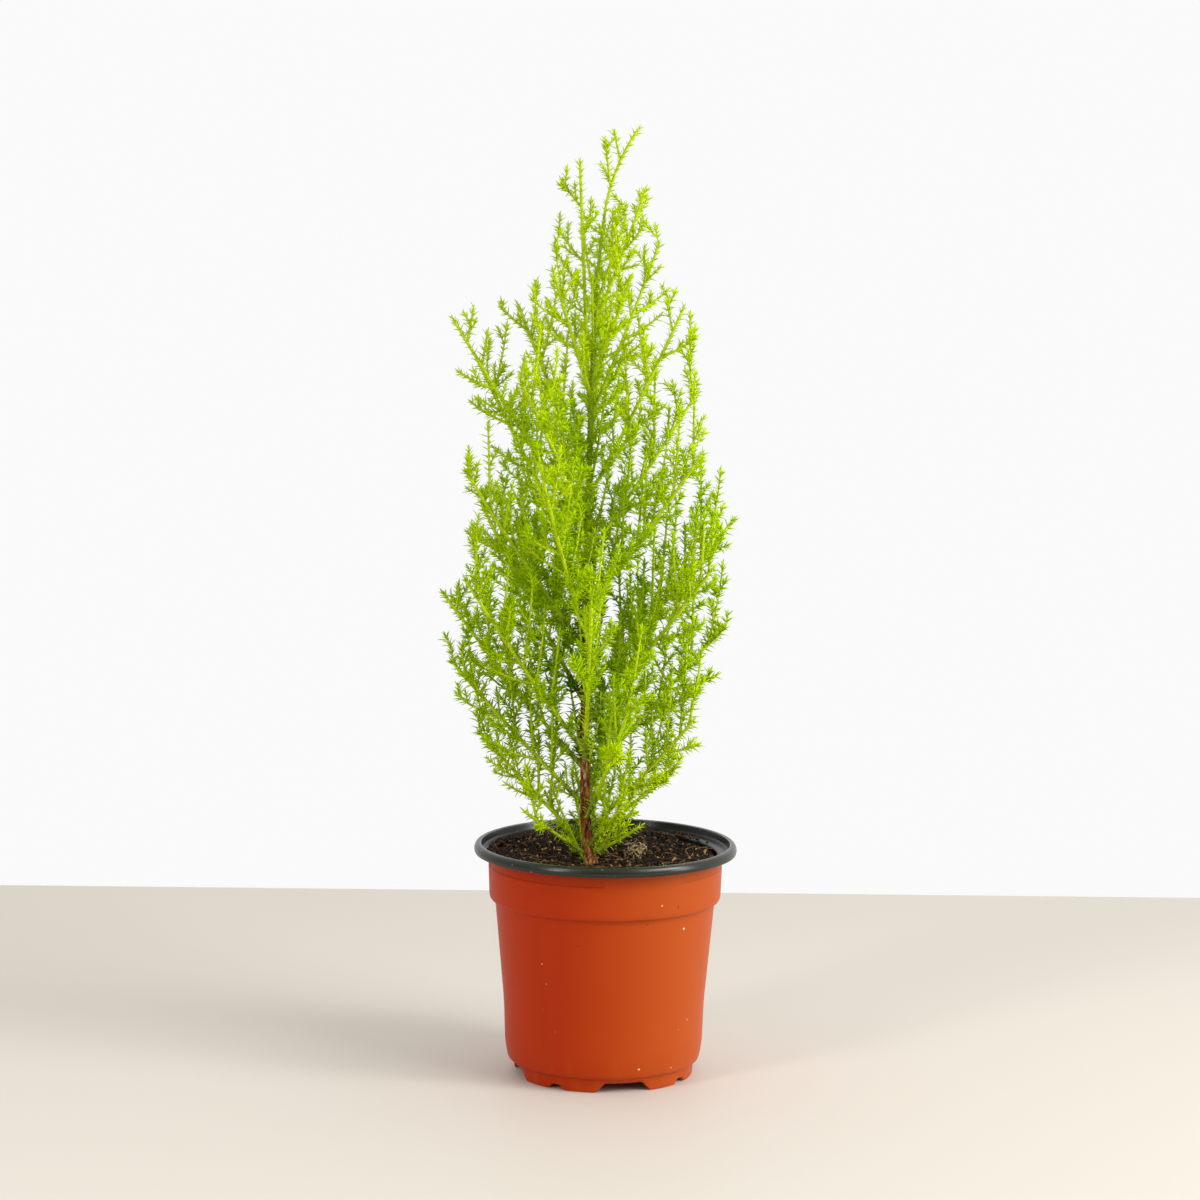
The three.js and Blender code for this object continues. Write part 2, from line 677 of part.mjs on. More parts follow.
function twigsOf({ limb, inRoom, length, random }) {
  const twigs = [];
  let turn = random(0, 2 * Math.PI);
  for (let along = TWIG_STEP; along < length - TWIG_STEP; along += TWIG_STEP) {
    const share = along / length;
    const root = limb.stem.getPointAt(share);
    const forward = limb.stem.getTangentAt(share);
    const normal = new THREE.Vector3().crossVectors(limb.across, forward).normalize();
    turn += GOLDEN_ANGLE + random(-0.3, 0.3);
    const longest = TWIG_LENGTH * (1 - TWIG_SHRINK * share) * random(0.8, 1.1);
    const options = [];
    for (const reach of REACH_SHARES.map((part) => part * longest)) {
      for (const side of [turn, turn + SIDE_TURN, turn - SIDE_TURN]) {
        const heading = forward.clone().multiplyScalar(Math.cos(TWIG_SPREAD));
        heading.addScaledVector(normal, Math.sin(TWIG_SPREAD) * Math.cos(side));
        heading.addScaledVector(limb.across, Math.sin(TWIG_SPREAD) * Math.sin(side));
        if (reach > 2 * TIP_LENGTH) options.push(() => makeTwig(root, heading, reach, inRoom));
      }
    }
    twigs.push(options);
  }
  return twigs;
}

function nearBoxes(a, b) {
  return a.min.every((low, i) => low - GAP < b.max[i] && b.min[i] - GAP < a.max[i]);
}

function placedPiece(solid) {
  return { solid, box: solid.boundingBox() };
}

function isClear(piece, placed) {
  const near = placed.filter((other) => nearBoxes(piece.box, other.box));
  return near.every((other) => piece.solid.minGap(other.solid, GAP) >= GAP);
}

// Every stem stands before the first twig, and a twig that comes too near anything else is left out
function makeMasses(woodPieces) {
  const masses = [...limbs, leader].map((limb, i) => {
    const mass = { limb, length: limb.stem.getLength(), inRoom: roomOf(limb), random: seeded(100 + i) };
    const stem = solidFrom(makeStem(mass));
    mass.pieces = [placedPiece(limb.hasBough ? stem : stem.subtract(grownTrunk))];
    return mass;
  });
  for (const mass of masses) {
    const around = masses.filter((other) => other !== mass).flatMap((other) => other.pieces);
    for (const options of twigsOf(mass)) {
      for (const makeOption of options) {
        const geometry = makeOption();
        const piece = geometry && placedPiece(solidFrom(geometry));
        if (!piece || !isClear(piece, [...around, ...woodPieces])) continue;
        mass.pieces.push(piece);
        break;
      }
    }
  }
  return masses.map(({ pieces }) => fuse(pieces.map((piece) => piece.solid)));
}

// One closed body of the pieces, with loose scraps dropped, and with fewer twigs where it won't close
function fuse(solids) {
  for (let count = solids.length; count > 0; count--) {
    const joined = wasm.Manifold.union(solids.slice(0, count));
    for (const finest of [0.02, 0.04, 0.08]) {
      const bodies = joined.simplify(finest).decompose();
      bodies.sort((a, b) => b.volume() - a.volume());
      const geometry = settled(bodies[0]);
      if (geometry) return geometry;
    }
  }
  throw new Error("the mass doesn't close");
}

// Materials
const terracotta = new THREE.MeshStandardMaterial({ color: "#c2481a", roughness: 0.45, metalness: 0 });
const blackPlastic = new THREE.MeshStandardMaterial({ color: "#23282a", roughness: 0.35, metalness: 0 });
const peat = new THREE.MeshStandardMaterial({ color: "#2b1d14", roughness: 1, metalness: 0 });
const bark = new THREE.MeshStandardMaterial({ color: "#7a4a34", roughness: 0.9, metalness: 0 });
const needles = new THREE.MeshStandardMaterial({ color: "#9ccb12", roughness: 0.6, metalness: 0 });

const group = new THREE.Group();

function addPiece(name, geometry, material) {
  const mesh = new THREE.Mesh(geometry, material);
  mesh.name = name;
  group.add(mesh);
}

addPiece("pot_body", makePotBody(), terracotta);
addPiece("pot_rim", turned(rimProfile()), blackPlastic);
addPiece("soil", makeSoil(), peat);
addPiece("trunk", fuse([makeTrunk(0)]), bark);

const numbered = (kind, index) => `${kind}_${String(index + 1).padStart(2, "0")}`;
const boughs = limbs.filter((limb) => limb.hasBough).map(makeBough);
boughs.forEach((solid, i) => addPiece(numbered("bough", i), fuse([solid]), bark));
makeMasses([...boughs, makeTrunk(0)].map(placedPiece)).forEach((geometry, i) => {
  const name = i < limbs.length ? numbered("foliage", i) : "foliage_leader";
  addPiece(name, geometry, needles);
});

export default group;
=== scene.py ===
# A potted goldcrest lemon cypress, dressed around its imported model. Metres in Blender, millimetres in the
# sizes below. The origin is on the pot's axis at the level it stands on; the front is towards -Y.
import math

import bpy
import numpy as np
from mathutils import Matrix, Vector, noise


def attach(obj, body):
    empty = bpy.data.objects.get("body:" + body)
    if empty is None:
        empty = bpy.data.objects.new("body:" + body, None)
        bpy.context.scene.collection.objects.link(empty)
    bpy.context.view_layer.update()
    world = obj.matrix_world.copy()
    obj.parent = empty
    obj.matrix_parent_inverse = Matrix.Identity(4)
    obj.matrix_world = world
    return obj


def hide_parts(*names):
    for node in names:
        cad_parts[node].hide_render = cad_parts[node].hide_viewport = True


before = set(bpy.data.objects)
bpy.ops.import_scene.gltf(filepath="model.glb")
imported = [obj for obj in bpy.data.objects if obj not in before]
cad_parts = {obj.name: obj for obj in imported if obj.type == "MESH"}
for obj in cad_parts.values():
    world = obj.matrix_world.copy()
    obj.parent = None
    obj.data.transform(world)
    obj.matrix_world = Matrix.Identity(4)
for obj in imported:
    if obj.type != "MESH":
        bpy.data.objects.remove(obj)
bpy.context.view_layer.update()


# Pot body
# A thin nursery pot, vacuum-formed from terracotta-red polypropylene sheet. It has a straight tapered
# wall, a wider band under the rim with three proud lugs, and a foot cut into feet by eight notches.
MM = 0.001
PAD_RADIUS = 20
FLOOR_LIFT = 4.6
FOOT_RADIUS = 44.3
FOOT_INNER = 42.2
BASE_HEIGHT = 7.2
BAND_RADIUS = 57.8
BAND_TOP = 109.8
POT_COLUMNS = 360
FILLET_STEPS = 4
LONGEST_FILLET = 0.48
NOTCHES = 4
WIDE_NOTCH = {"bottom": 29, "top": 17, "depth": 5.2, "turn": 13.5}
NARROW_NOTCH = {"bottom": 9, "top": 4, "depth": 2.4, "turn": -31.5}
LUGS = 3
LUG_ANGLE = 38
LUG_EDGE = 1.4
RECESS_DEPTH = 0.5
DRAIN_HOLES = 8
DRAIN_RADIUS = 3.6
DRAIN_CIRCLE = 32
DRAIN_SIDES = 32
DRAIN_DEPTH = 12


def lerp(low, high, share):
    return low + (high - low) * share


def smooth(share):
    share = min(max(share, 0), 1)
    return share * share * (3 - 2 * share)


def from_front(angle):
    """Degrees from the front of the pot, positive to the right, for an angle about its axis."""
    return (math.degrees(angle) + 90 + 180) % 360 - 180


def notch_height(angle):
    """How far the foot's edge stands off the ground at an angle, in mm."""
    height = 0
    for i in range(NOTCHES):
        for notch in (WIDE_NOTCH, NARROW_NOTCH):
            off = (from_front(angle) - notch["turn"] - i * 360 / NOTCHES + 180) % 360 - 180
            away = abs(math.radians(off)) * FOOT_RADIUS
            share = (notch["bottom"] / 2 - away) / ((notch["bottom"] - notch["top"]) / 2)
            share = min(max(share, 0), 1)
            height = max(height, notch["depth"] * (share + smooth(share)) / 2)
    return height


def recess_share(angle):
    """1 where the band stands back under the lip, 0 at the proud lugs."""
    period = 360 / LUGS
    into = (from_front(angle) - LUG_ANGLE) % period
    width = period - LUG_ANGLE
    return smooth(into / LUG_EDGE) * smooth((width - into) / LUG_EDGE)


def pot_corners(angle):
    """The pot's outline at an angle: radius, height and how far back each corner is rounded, in mm."""
    foot = notch_height(angle)
    inset = RECESS_DEPTH * recess_share(angle)
    return [
        (0, 0, 0),
        (PAD_RADIUS, 0, 0.6),
        (PAD_RADIUS + 3, FLOOR_LIFT, 0.8),
        (FOOT_INNER - 1, FLOOR_LIFT, 0.2),
        (FOOT_INNER, min(foot, FLOOR_LIFT - 0.5), 0.2),
        (FOOT_RADIUS, foot, 0.7),
        (FOOT_RADIUS + 0.5, BASE_HEIGHT - 0.5, 0.25),
        (FOOT_RADIUS + 1.6, BASE_HEIGHT, 0.4),
        (47.5, BASE_HEIGHT + 0.7, 2),
        (48.6, 14, 2.5),
        (49, 18, 2),
        (49.6, 36, 5),
        (53.9, 83, 2),
        (54.4, 87.4, 0.3),
        (57.1, 87.9, 2.4),
        (57.7, 104.3, 0.3),
        (57.7 - inset, 104.9, 0.3),
        (BAND_RADIUS - inset, BAND_TOP, 0.2),
        (BAND_RADIUS - 1.5, BAND_TOP, 0.2),
        (55.8, 91.5, 1),
        (52.9, 87.7, 1),
        (47.5, 18, 2),
        (45, 9.2, 1),
        (40, FLOOR_LIFT + 1.5, 0.5),
        (PAD_RADIUS + 2.2, FLOOR_LIFT + 1.5, 0.5),
        (PAD_RADIUS - 0.8, 1.5, 0.5),
        (0, 1.5, 0),
    ]


def rounded(corners, closed=False):
    """The outline's points, with each corner that has a fillet drawn as a short curve."""
    points = []
    for i, (radius, height, fillet) in enumerate(corners):
        corner = np.array([radius, height], float)
        if fillet == 0 or (not closed and i in (0, len(corners) - 1)):
            points.append(corner)
            continue
        before = np.array(corners[i - 1][:2], float) - corner
        after = np.array(corners[(i + 1) % len(corners)][:2], float) - corner
        start = corner + before * min(fillet / np.linalg.norm(before), LONGEST_FILLET)
        end = corner + after * min(fillet / np.linalg.norm(after), LONGEST_FILLET)
        for step in range(FILLET_STEPS + 1):
            share = step / FILLET_STEPS
            points.append((1 - share) ** 2 * start + 2 * share * (1 - share) * corner + share ** 2 * end)
    return np.array(points)


def mesh_piece(name, points, faces, finish, is_smooth=True):
    """A piece from points in metres and faces, linked to the scene with its finish."""
    mesh = bpy.data.meshes.new(name)
    mesh.from_pydata([tuple(point) for point in points], [], [tuple(face) for face in faces])
    mesh.update()
    mesh.polygons.foreach_set("use_smooth", [is_smooth] * len(mesh.polygons))
    piece = bpy.data.objects.new(name, mesh)
    bpy.context.scene.collection.objects.link(piece)
    if finish:
        mesh.materials.append(finish)
    return piece


def turned_piece(name, corners_at, columns, finish, closed=False):
    """A body turned about the pot's axis. Its outline may change with the angle, and goes from pole to
    pole or, where closed, round a ring."""
    points = []
    outlines = []
    for i in range(columns):
        angle = 2 * math.pi * i / columns
        outline = rounded(corners_at(angle), closed) * MM
        outlines.append((angle, outline if closed else outline[1:-1]))
    rows = len(outlines[0][1])
    for angle, outline in outlines:
        for radius, height in outline:
            points.append((radius * math.cos(angle), radius * math.sin(angle), height))
    faces = []
    for i in range(columns):
        here = i * rows
        there = ((i + 1) % columns) * rows
        for j in range(rows if closed else rows - 1):
            k = (j + 1) % rows
            faces.append((here + j, there + j, there + k, here + k))
    if not closed:
        ends = rounded(corners_at(0))[[0, -1]] * MM
        low, high = len(points), len(points) + 1
        points += [(0, 0, ends[0][1]), (0, 0, ends[1][1])]
        for i in range(columns):
            here = i * rows
            there = ((i + 1) % columns) * rows
            faces.append((low, there, here))
            faces.append((high, here + rows - 1, there + rows - 1))
    return mesh_piece(name, points, faces, finish)


class Wire:
    """A shader socket that takes part in plain arithmetic: each operator adds its Math node."""

    def __init__(self, finish, socket):
        self.finish = finish
        self.socket = socket

    def maths(self, operation, *values):
        return self.finish.node("ShaderNodeMath", {"operation": operation}, *values)

    def __add__(self, other):
        return self.maths("ADD", self, other)

    def __sub__(self, other):
        return self.maths("SUBTRACT", self, other)

    def __rsub__(self, other):
        return self.maths("SUBTRACT", other, self)

    def __mul__(self, other):
        return self.maths("MULTIPLY", self, other)

    def __truediv__(self, other):
        return self.maths("DIVIDE", self, other)

    __radd__ = __add__
    __rmul__ = __mul__

    def clipped(self):
        return self.maths("MINIMUM", self.maths("MAXIMUM", self, 0), 1)

    def stepped(self, low, high):
        """0 below low and 1 above high, straight between them."""
        return ((self - low) / (high - low)).clipped()


class Finish:
    """A material, with one method that makes any node and gives back one of its outputs."""

    def __init__(self, name, roughness=0.5, specular=0.5):
        self.material = bpy.data.materials.new(name)
        self.material.use_nodes = True
        self.tree = self.material.node_tree
        self.shader = self.tree.nodes["Principled BSDF"]
        self.shader.inputs["Roughness"].default_value = roughness
        self.shader.inputs["Specular IOR Level"].default_value = specular

    def node(self, kind, settings, *values, output=0, **named):
        made = self.tree.nodes.new(kind)
        for key, value in settings.items():
            setattr(made, key, value)
        for i, value in enumerate(values):
            self.feed(made.inputs[i], value)
        for key, value in named.items():
            self.feed(made.inputs[key.replace("_", " ")], value)
        return Wire(self, made.outputs[output])

    def feed(self, socket, value):
        if isinstance(value, Wire):
            self.tree.links.new(value.socket, socket)
        elif isinstance(value, tuple) and len(value) == 3 and socket.type == "RGBA":
            socket.default_value = (*value, 1)
        else:
            socket.default_value = value

    def place(self, stretch=(1, 1, 1), move=(0, 0, 0)):
        """Object coordinates in metres, moved and then stretched."""
        where = self.node("ShaderNodeTexCoord", {}, output="Object")
        moved = self.node("ShaderNodeVectorMath", {"operation": "SUBTRACT"}, where, move)
        return self.node("ShaderNodeVectorMath", {"operation": "MULTIPLY"}, moved, stretch)

    def axis(self, name):
        return self.node("ShaderNodeSeparateXYZ", {}, self.place(), output=name)

    def length_of(self, vector):
        return self.node("ShaderNodeVectorMath", {"operation": "LENGTH"}, vector, output="Value")

    def specks(self, scale, low, high):
        """1 on round specks strewn over the surface, 0 between them."""
        away = self.node("ShaderNodeTexVoronoi", {"feature": "F1"}, Vector=self.place(), Scale=scale,
                         output="Distance")
        return 1 - away.stepped(low, high)

    def clouds(self, scale, detail=3, rough=0.55, stretch=(1, 1, 1)):
        return self.node("ShaderNodeTexNoise", {}, Vector=self.place(stretch), Scale=scale, Detail=detail,
                         Roughness=rough)

    def blend(self, share, low, high):
        """One colour where share is 0, the other where it is 1."""
        made = self.tree.nodes.new("ShaderNodeMix")
        made.data_type = "RGBA"
        self.feed(made.inputs[0], share)
        self.feed(made.inputs[6], low)
        self.feed(made.inputs[7], high)
        return Wire(self, made.outputs[2])

    def near(self, spot, reach, edge=0.35):
        """1 within reach of a spot in mm, falling to 0 past its uneven edge."""
        off = self.length_of(self.place(move=scaled(spot)))
        off = off + (self.clouds(1800, detail=1) - 0.5) * (1.6 * reach * MM)
        return 1 - off.stepped(reach * MM, reach * (1 + edge) * MM)

    def relief(self, height, depth, strength=1.0):
        bump = self.node("ShaderNodeBump", {}, Strength=strength, Distance=depth * MM, Height=height)
        self.feed(self.shader.inputs["Normal"], bump)

    def set(self, **values):
        for key, value in values.items():
            self.feed(self.shader.inputs[key.replace("_", " ")], value)


def scaled(point):
    return tuple(value * MM for value in point)


def linear(red, green, blue):
    """A colour picked on screen, 0 to 255, as Blender's linear light."""
    shares = [channel / 255 for channel in (red, green, blue)]
    return tuple(s / 12.92 if s <= 0.04045 else ((s + 0.055) / 1.055) ** 2.4 for s in shares)


POT_RED = linear(182, 50, 0)
# The paler orange of the pot's right side, painted light
POT_LIT_SIDE = linear(182, 78, 22)
POT_WORN = linear(200, 88, 34)
POT_DEEP = linear(166, 42, 0)
DUST = linear(235, 215, 195)
SOIL_MARK = linear(60, 30, 18)
# Flecks of dust and specks of peat on the wall: place in mm, and reach
PALE_FLECKS = [((17.6, -45.5, 12.2), 0.6), ((-28.2, -39.4, 26.6), 0.3), ((-12.7, -46.6, 15.6), 0.32),
               ((-6.3, -47.7, 16.4), 0.3), ((38.2, -37.4, 80.6), 0.5), ((27.5, -50.3, 94.6), 0.3)]
DARK_SPECKS = [((35.1, -44.7, 93.2), 0.6), ((-12.9, -51.3, 74.6), 0.4), ((-20.2, -50.6, 69.8), 0.55),
               ((-38.4, -42.6, 62), 0.3), ((20.4, -49.8, 85.2), 0.4), ((-33.3, -29.6, 8.2), 0.7)]


def pot_finish():
    finish = Finish("red_plastic", specular=0.12)
    broad = finish.clouds(14, detail=2, stretch=(1, 1, 0.35))
    fine = finish.clouds(900, detail=2)
    streaks = finish.clouds(160, detail=3, stretch=(1, 1, 0.06))
    colour = finish.blend(broad.stepped(0.35, 0.7), POT_RED, finish.blend(streaks, POT_RED, POT_DEEP))
    # Painted light: the right side is blended towards a paler orange, standing in for the sheen and the light
    # through the thin plastic there
    lit_side = (finish.axis("X") + broad * (12 * MM)).stepped(-16 * MM, 46 * MM)
    colour = finish.blend(lit_side, colour, POT_LIT_SIDE)
    rub = (1 - finish.axis("Z").stepped(2 * MM, 24 * MM)) * streaks.stepped(0.48, 0.75) * 0.35
    colour = finish.blend(rub, colour, POT_WORN)
    chosen = finish.clouds(42, detail=1).stepped(0.6, 0.66)
    colour = finish.blend(finish.specks(150, 0.04, 0.09) * chosen * 0.5, colour, DUST)
    for spot, reach in PALE_FLECKS:
        colour = finish.blend(finish.near(spot, reach), colour, DUST)
    for spot, reach in DARK_SPECKS:
        colour = finish.blend(finish.near(spot, reach) * 0.8, colour, SOIL_MARK)
    finish.set(Base_Color=colour, Roughness=0.34 + fine * 0.08 + streaks * 0.06)
    finish.relief(broad * 0.6 + fine * 0.02, 0.25, 0.35)
    return finish.material


def cut_drains(wall):
    """Cuts the drain holes through the raised floor of the wall piece."""
    cutters = []
    for i in range(DRAIN_HOLES):
        angle = (i + 0.5) * 2 * math.pi / DRAIN_HOLES
        bpy.ops.mesh.primitive_cylinder_add(
            vertices=DRAIN_SIDES, radius=DRAIN_RADIUS * MM, depth=DRAIN_DEPTH * MM,
            location=scaled((DRAIN_CIRCLE * math.sin(angle), -DRAIN_CIRCLE * math.cos(angle), FLOOR_LIFT)),
        )
        cutters.append(bpy.context.object)
    group = bpy.data.collections.new("drain_cutters")
    for cutter in cutters:
        group.objects.link(cutter)
    cut = wall.modifiers.new("drains", "BOOLEAN")
    cut.operation = "DIFFERENCE"
    cut.solver = "MANIFOLD"
    cut.operand_type = "COLLECTION"
    cut.collection = group
    cut_mesh = bpy.data.meshes.new_from_object(wall.evaluated_get(bpy.context.evaluated_depsgraph_get()))
    wall.modifiers.clear()
    wall.data = cut_mesh
    for cutter in cutters:
        bpy.data.objects.remove(cutter)
    bpy.data.collections.remove(group)


pot_body = turned_piece("pot_wall", pot_corners, POT_COLUMNS, pot_finish())
cut_drains(pot_body)
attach(pot_body, "root")
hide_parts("pot_body")


# Pot rim
# The sheet is black on its inside. It runs up from the peat, steps out over the band as a narrow ledge and
# stands up to a rolled lip, whose thin inner edge carries a painted pale highlight.
RIM_COLUMNS = 288


def rim_corners(angle):
    return [
        (55.5, 99.5, 0.2),
        (56, 108.8, 0.3),
        (56, 110.1, 0.1),
        (58.3, 110.1, 0.2),
        (61.9, 110.4, 0.4),
        (62.7, 112.4, 0.3),
        (63.3, 112.4, 0.3),
        (63.8, 110.8, 0.2),
        (64.5, 110.8, 0.35),
        (64.95, 112.7, 1),
        (64.1, 114.9, 1.1),
        (62.6, 115.5, 0.8),
        (61.5, 115.3, 0.15),
        (60.9, 111.9, 0.9),
        (60.2, 111.5, 0.4),
        (57, 111.2, 0.7),
        (55.1, 110.4, 0.6),
        (54.8, 108, 1),
        (54.5, 99.5, 0.2),
    ]


RIM_BLACK = linear(8, 9, 8)
RIM_GREY = linear(40, 42, 28)
RIM_HIGHLIGHT = linear(150, 150, 142)
MOUTH_RADIUS = 61.6


def rim_finish():
    finish = Finish("black_plastic", specular=0.5)
    grain = finish.clouds(60, detail=4, stretch=(1, 1, 3))
    fine = finish.clouds(700, detail=2)
    height = finish.axis("Z")
    outside = height.stepped(110.5 * MM, 113.5 * MM)
    beyond = (finish.length_of(finish.place((1, 1, 0))) - MOUTH_RADIUS * MM) / MM
    colour = finish.blend(outside * beyond.stepped(0, 0.8) * (0.35 + grain * 0.5), RIM_BLACK, RIM_GREY)
    # Painted highlight: a pale line along the top of the lip's thin inner edge
    edge = beyond.stepped(-0.4, 0) - beyond.stepped(0, 0.4)
    colour = finish.blend(edge * height.stepped(114.6 * MM, 115.2 * MM) * 0.7, colour, RIM_HIGHLIGHT)
    colour = finish.blend(finish.specks(220, 0.05, 0.12) * 0.25, colour, DUST)
    finish.set(Base_Color=colour, Roughness=0.2 + grain * 0.14)
    finish.relief(fine, 0.05, 0.3)
    return finish.material


pot_rim = turned_piece("pot_lip", rim_corners, RIM_COLUMNS, rim_finish(), closed=True)
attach(pot_rim, "root")
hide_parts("pot_rim")


# Peat
# Moist black peat fills the pot to the rim's ledge. It lies highest at the edge and dips towards the trunk,
# with a low pale tuft of dry moss right of the stem.
SOIL_LEVEL = 105
PEAT_TOP = SOIL_LEVEL - 0.6
PEAT_RADIUS = 54.2
PEAT_RISE = 4.4
PEAT_HEAP = 0.9
PEAT_COLUMNS = 240
PEAT_RINGS = 62
STREWING_RINGS = 40
MOSS_PLACE = (15.5, 21)
MOSS_REACH = (9, 13)
MOSS_HEIGHT = 2.6
TRUNK_FOOT = (-7.1, -3)
PEAT_DARK = linear(6, 4, 2)
PEAT_BROWN = linear(54, 34, 18)


def toward_heap(x, y):
    """How far a place lies to the back left, where the peat is heaped higher, in mm."""
    return 0.8 * y - 0.6 * x


def moss_share(x, y):
    across = (x - MOSS_PLACE[0]) / MOSS_REACH[0]
    back = (y - MOSS_PLACE[1]) / MOSS_REACH[1]
    return math.exp(-1.4 * (across * across + back * back))


def peat_height(x, y):
    place = Vector((x * 0.09, y * 0.09, 3.1))
    swell = noise.fractal(place, 0.9, 2.1, 3) * 0.6
    crumbs = noise.fractal(place * 5, 0.8, 2.2, 4) * 1.1
    foot = math.hypot(x - TRUNK_FOOT[0], y - TRUNK_FOOT[1])
    away = math.hypot(x, y)
    edge = smooth((PEAT_RADIUS - away) / 3)
    dish = smooth((away - 10) / (PEAT_RADIUS - 16))
    rise = 0.5 * math.exp(-foot / 5) + MOSS_HEIGHT * moss_share(x, y)
    rise += dish * (PEAT_RISE + PEAT_HEAP * toward_heap(x, y) / PEAT_RADIUS)
    return PEAT_TOP + (swell + crumbs) * smooth((foot - 2) / 6) * (0.4 + 0.6 * edge) + rise


def ring_places(radius):
    for i in range(PEAT_COLUMNS):
        angle = 2 * math.pi * i / PEAT_COLUMNS
        yield radius * math.cos(angle), radius * math.sin(angle)


def ring_faces(inner, outer):
    """The faces between two rings of points, from the number of each ring's first point."""
    for i in range(PEAT_COLUMNS):
        j = (i + 1) % PEAT_COLUMNS
        yield inner + i, outer + i, outer + j, inner + j


def peat_surface(rings):
    """Points in mm of the peat's top, ring by ring from the middle, and its faces."""
    points = [(0, 0, peat_height(0, 0))]
    faces = [(0, 1 + i, 1 + (i + 1) % PEAT_COLUMNS) for i in range(PEAT_COLUMNS)]
    for ring in range(1, rings + 1):
        points += [(x, y, peat_height(x, y)) for x, y in ring_places(PEAT_RADIUS * ring / rings)]
    for ring in range(1, rings):
        outer = 1 + ring * PEAT_COLUMNS
        faces += ring_faces(outer - PEAT_COLUMNS, outer)
    return points, faces


def peat_finish():
    finish = Finish("peat", roughness=0.95, specular=0.2)
    grain = finish.clouds(420, detail=6, rough=0.7)
    lumps = finish.clouds(120, detail=4)
    shade = (grain * 0.7 + lumps * 0.4).stepped(0.42, 0.8)
    finish.set(Base_Color=finish.blend(shade, PEAT_DARK, PEAT_BROWN))
    finish.relief(grain + lumps * 0.6, 1.2, 1)
    return finish.material


side_rows = [(54, 105), (53.6, 92), (51.9, 86), (46.6, 18), (44, 10), (38, 6.5), (21.5, 6.5), (18.6, 1.9)]
peat_points, peat_faces = peat_surface(PEAT_RINGS)
above = len(peat_points) - PEAT_COLUMNS
for radius, height in side_rows:
    below = len(peat_points)
    peat_points += [(x, y, height) for x, y in ring_places(radius)]
    peat_faces += ring_faces(above, below)
    above = below
peat_points.append((0, 0, side_rows[-1][1]))
for i in range(PEAT_COLUMNS):
    peat_faces.append((above + i, len(peat_points) - 1, above + (i + 1) % PEAT_COLUMNS))
peat = mesh_piece("peat", [scaled(point) for point in peat_points], peat_faces, peat_finish())
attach(peat, "root")
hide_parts("soil")


# Crumbs, flecks and fibres of the peat
# Loose crumbs of peat and bark, pale flecks of wood and fine root fibres lie on the surface. The dry moss
# is a thatch of pale fibres.
class Grower:
    """A Geometry Nodes tree with named inputs, built node by node and run on a host object."""

    def __init__(self, name):
        self.tree = bpy.data.node_groups.new(name, "GeometryNodeTree")
        self.tree.interface.new_socket("Geometry", in_out="INPUT", socket_type="NodeSocketGeometry")
        self.tree.interface.new_socket("Geometry", in_out="OUTPUT", socket_type="NodeSocketGeometry")
        self.identifiers = {}
        self.source = self.tree.nodes.new("NodeGroupInput")
        self.result = self.tree.nodes.new("NodeGroupOutput")

    def named_inputs(self, **kinds):
        for name, kind in kinds.items():
            socket = self.tree.interface.new_socket(name, in_out="INPUT", socket_type="NodeSocket" + kind)
            self.identifiers[name] = socket.identifier
        return [self.source.outputs[name] for name in kinds]

    def node(self, kind, settings=None, output=0, **values):
        made = self.tree.nodes.new(kind)
        for key, value in (settings or {}).items():
            setattr(made, key, value)
        for key, value in values.items():
            self.feed(self.socket_of(made, key), value)
        return made.outputs[output]

    def socket_of(self, made, key):
        """The input that an identifier names, or else the shown one of that name."""
        for socket in made.inputs:
            if socket.identifier == key:
                return socket
        return next(s for s in made.inputs if s.enabled and s.name == key.replace("_", " "))

    def feed(self, socket, value):
        if isinstance(value, bpy.types.NodeSocket):
            self.tree.links.new(value, socket)
        else:
            socket.default_value = value

    def maths(self, operation, first, second, third=0.0):
        return self.node("ShaderNodeMath", {"operation": operation}, Value=first, Value_001=second,
                         Value_002=third)

    def drawn(self, low, high, seed):
        return self.node("FunctionNodeRandomValue", {"data_type": "FLOAT"}, output=1, Min_001=low,
                         Max_001=high, Seed=seed)

    def column(self, name):
        return self.node("GeometryNodeInputNamedAttribute", {"data_type": "FLOAT"}, Name=name)

    def shape_of(self, source):
        return self.node("GeometryNodeObjectInfo", {"transform_space": "ORIGINAL"}, output="Geometry",
                         Object=source)

    def end(self, geometry, finish):
        realized = self.node("GeometryNodeRealizeInstances", Geometry=geometry)
        painted = self.node("GeometryNodeSetMaterial", Geometry=realized, Material=finish)
        self.tree.links.new(painted, self.result.inputs[0])

    def grow(self, name, host_mesh, **inputs):
        """Runs the tree on a host mesh and keeps the result as a plain mesh piece."""
        host = bpy.data.objects.new(name + "_host", host_mesh)
        bpy.context.scene.collection.objects.link(host)
        modifier = host.modifiers.new("grower", "NODES")
        modifier.node_group = self.tree
        for key, value in inputs.items():
            modifier[self.identifiers[key]] = value
        bpy.context.view_layer.update()
        evaluated = host.evaluated_get(bpy.context.evaluated_depsgraph_get())
        mesh = bpy.data.meshes.new_from_object(evaluated)
        mesh.name = name
        bpy.data.objects.remove(host)
        for attribute in list(mesh.attributes):
            kept = attribute.is_internal or attribute.is_required
            if not kept and attribute.name not in ("position", "sharp_face", "material_index"):
                mesh.attributes.remove(attribute)
        piece = bpy.data.objects.new(name, mesh)
        bpy.context.scene.collection.objects.link(piece)
        return piece


FIBRE_STEPS = 7
STREWING_SEED = 5
CRUMB_GRAIN = 500


